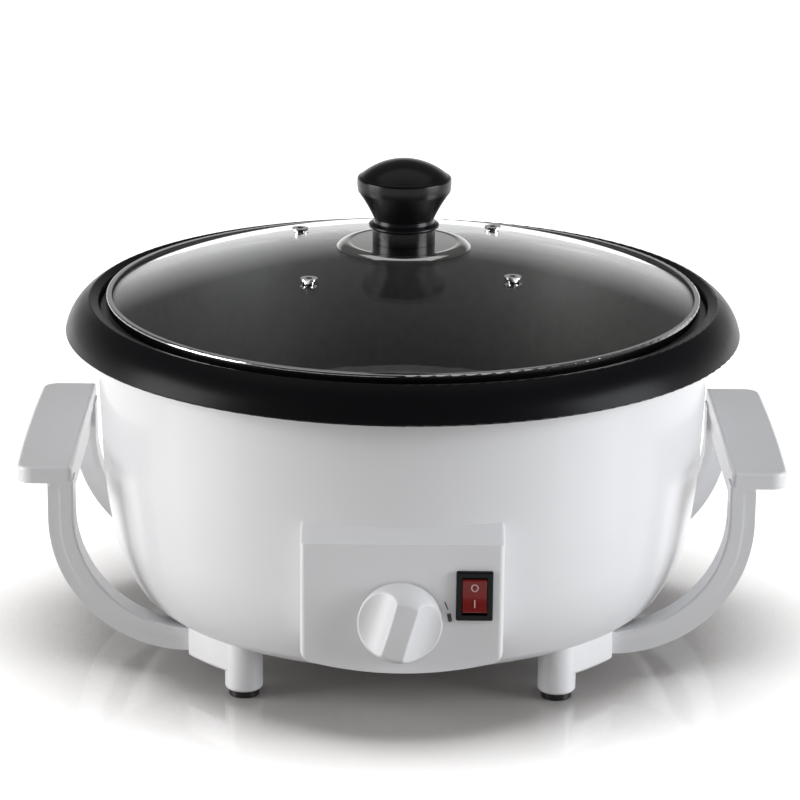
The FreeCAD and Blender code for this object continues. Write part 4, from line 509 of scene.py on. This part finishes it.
# Strength of the backdrop in reflections, against the direction's Y (ends at the back) and Z (up).
BACKDROP_BEHIND = ((-0.6, 0.75), (0.16, 0.85))
BACKDROP_ABOVE = ((0.08, 0.35), (1.0, 0.12))
BACKDROP_ON_MATT = 0.33              # its strength as a light on matt surfaces

# Soft boxes: place, width, height, watts and colour. All of them face LAMPS_AIM.
LAMPS_AIM = Vector((0, 0, 0.09))
LAMPS = {
    "left_box": ((-1.52, -0.30, 0.34), 0.9, 1.1, 23.0, (1.0, 1.0, 1.0)),
    "right_box": ((1.50, -0.44, 0.34), 0.9, 1.1, 23.5, (0.95, 0.975, 1.0)),
    "top_box": ((0.0, 0.35, 1.5), 1.6, 0.9, 2.0, (1.0, 1.0, 1.0)),
}

# The camera was fitted to the photograph's rim, lid, grips, feet and panel.
CAMERA_AT = Vector((-8.6, -1413.8, 542.1)) * MM
CAMERA_DOWN = math.radians(17.136)
CAMERA_LEFT = math.radians(-0.311)
CAMERA_ROLL = math.radians(0.593)
CAMERA_CLIP = (0.05, 30.0)
FOCAL_PIXELS = 3354.3
FRAME_PIXELS = 800
SENSOR = 36.0


def floor():
    """A white table top, plain white where it is seen but for a painted shade under the roaster."""
    corners = [(x * FLOOR_HALF, y * FLOOR_HALF, 0) for x, y in ((-1, -1), (1, -1), (1, 1), (-1, 1))]
    mesh = bpy.data.meshes.new("floor")
    mesh.from_pydata(corners, [], [(0, 1, 2, 3)])
    look = Look("floor_white", (0.45, 0.432, 0.42), 0.07)
    look.vary_gloss(look.noise(3.0, 2.0), 0.02)
    # Painted shade: the floor's glow is dimmed where ambient occlusion finds the roaster near.
    shade = look.node("ShaderNodeAmbientOcclusion", Distance=FLOOR_SHADE_REACH)
    shade.samples = FLOOR_SHADE_SAMPLES
    openness = look.rescale(shade.outputs["AO"], FLOOR_SHADE, (0.0, 1.0))
    seen = look.math("MAXIMUM", look.seen_directly(), look.light_path("Is Glossy Ray"))
    look.set("Emission Color", WHITE)
    look.set("Emission Strength", look.math("MULTIPLY", seen, openness))
    mesh.materials.append(look.material)
    add_object("floor", mesh)


def world():
    """White where it is seen, and dimmer towards the camera's side and overhead in reflections."""
    sky = bpy.data.worlds.new("studio")
    bpy.context.scene.world = sky
    sky.use_nodes = True
    shading = Shading(sky.node_tree)
    shading.tree.nodes.clear()
    direction = shading.node("ShaderNodeTexCoord").outputs["Generated"]
    parts = shading.node("ShaderNodeSeparateXYZ", Vector=direction).outputs
    behind = shading.rescale(parts["Y"], *BACKDROP_BEHIND)
    above = shading.rescale(parts["Z"], *BACKDROP_ABOVE)
    mirrored = shading.math("MULTIPLY", behind, above)
    lit = shading.choose(shading.light_path("Is Glossy Ray"), BACKDROP_ON_MATT, mirrored)
    shown = shading.choose(shading.seen_directly(), lit, 1.0)
    background = shading.node("ShaderNodeBackground", Color=WHITE, Strength=shown)
    shading.node("ShaderNodeOutputWorld", Surface=background.outputs["Background"])


def lamps():
    for name, (at, width, height, watts, colour) in LAMPS.items():
        light = bpy.data.lights.new(name, "AREA")
        light.shape = "RECTANGLE"
        light.size = width
        light.size_y = height
        light.energy = watts
        light.color = colour
        holder = add_object(name, light)
        holder.location = at
        holder.rotation_euler = (LAMPS_AIM - Vector(at)).to_track_quat("-Z", "Y").to_euler()


def camera():
    lens = bpy.data.cameras.new("photo_camera")
    lens.sensor_width = SENSOR
    lens.lens = SENSOR * FOCAL_PIXELS / FRAME_PIXELS
    lens.clip_start, lens.clip_end = CAMERA_CLIP
    holder = add_object("photo_camera", lens)
    heading = Matrix.Rotation(CAMERA_LEFT, 4, "Z")
    pitch = Matrix.Rotation(math.radians(90) - CAMERA_DOWN, 4, "X")
    roll = Matrix.Rotation(CAMERA_ROLL, 4, "Z")
    holder.matrix_world = Matrix.Translation(CAMERA_AT) @ heading @ pitch @ roll
    bpy.context.scene.camera = holder


def main():
    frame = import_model()
    bpy.context.scene.view_settings.view_transform = "Standard"
    looks = dress_nodes(frame)
    temperature_dial(looks)
    switch_marks()
    panel_ticks()
    floor()
    world()
    lamps()
    camera()


main()
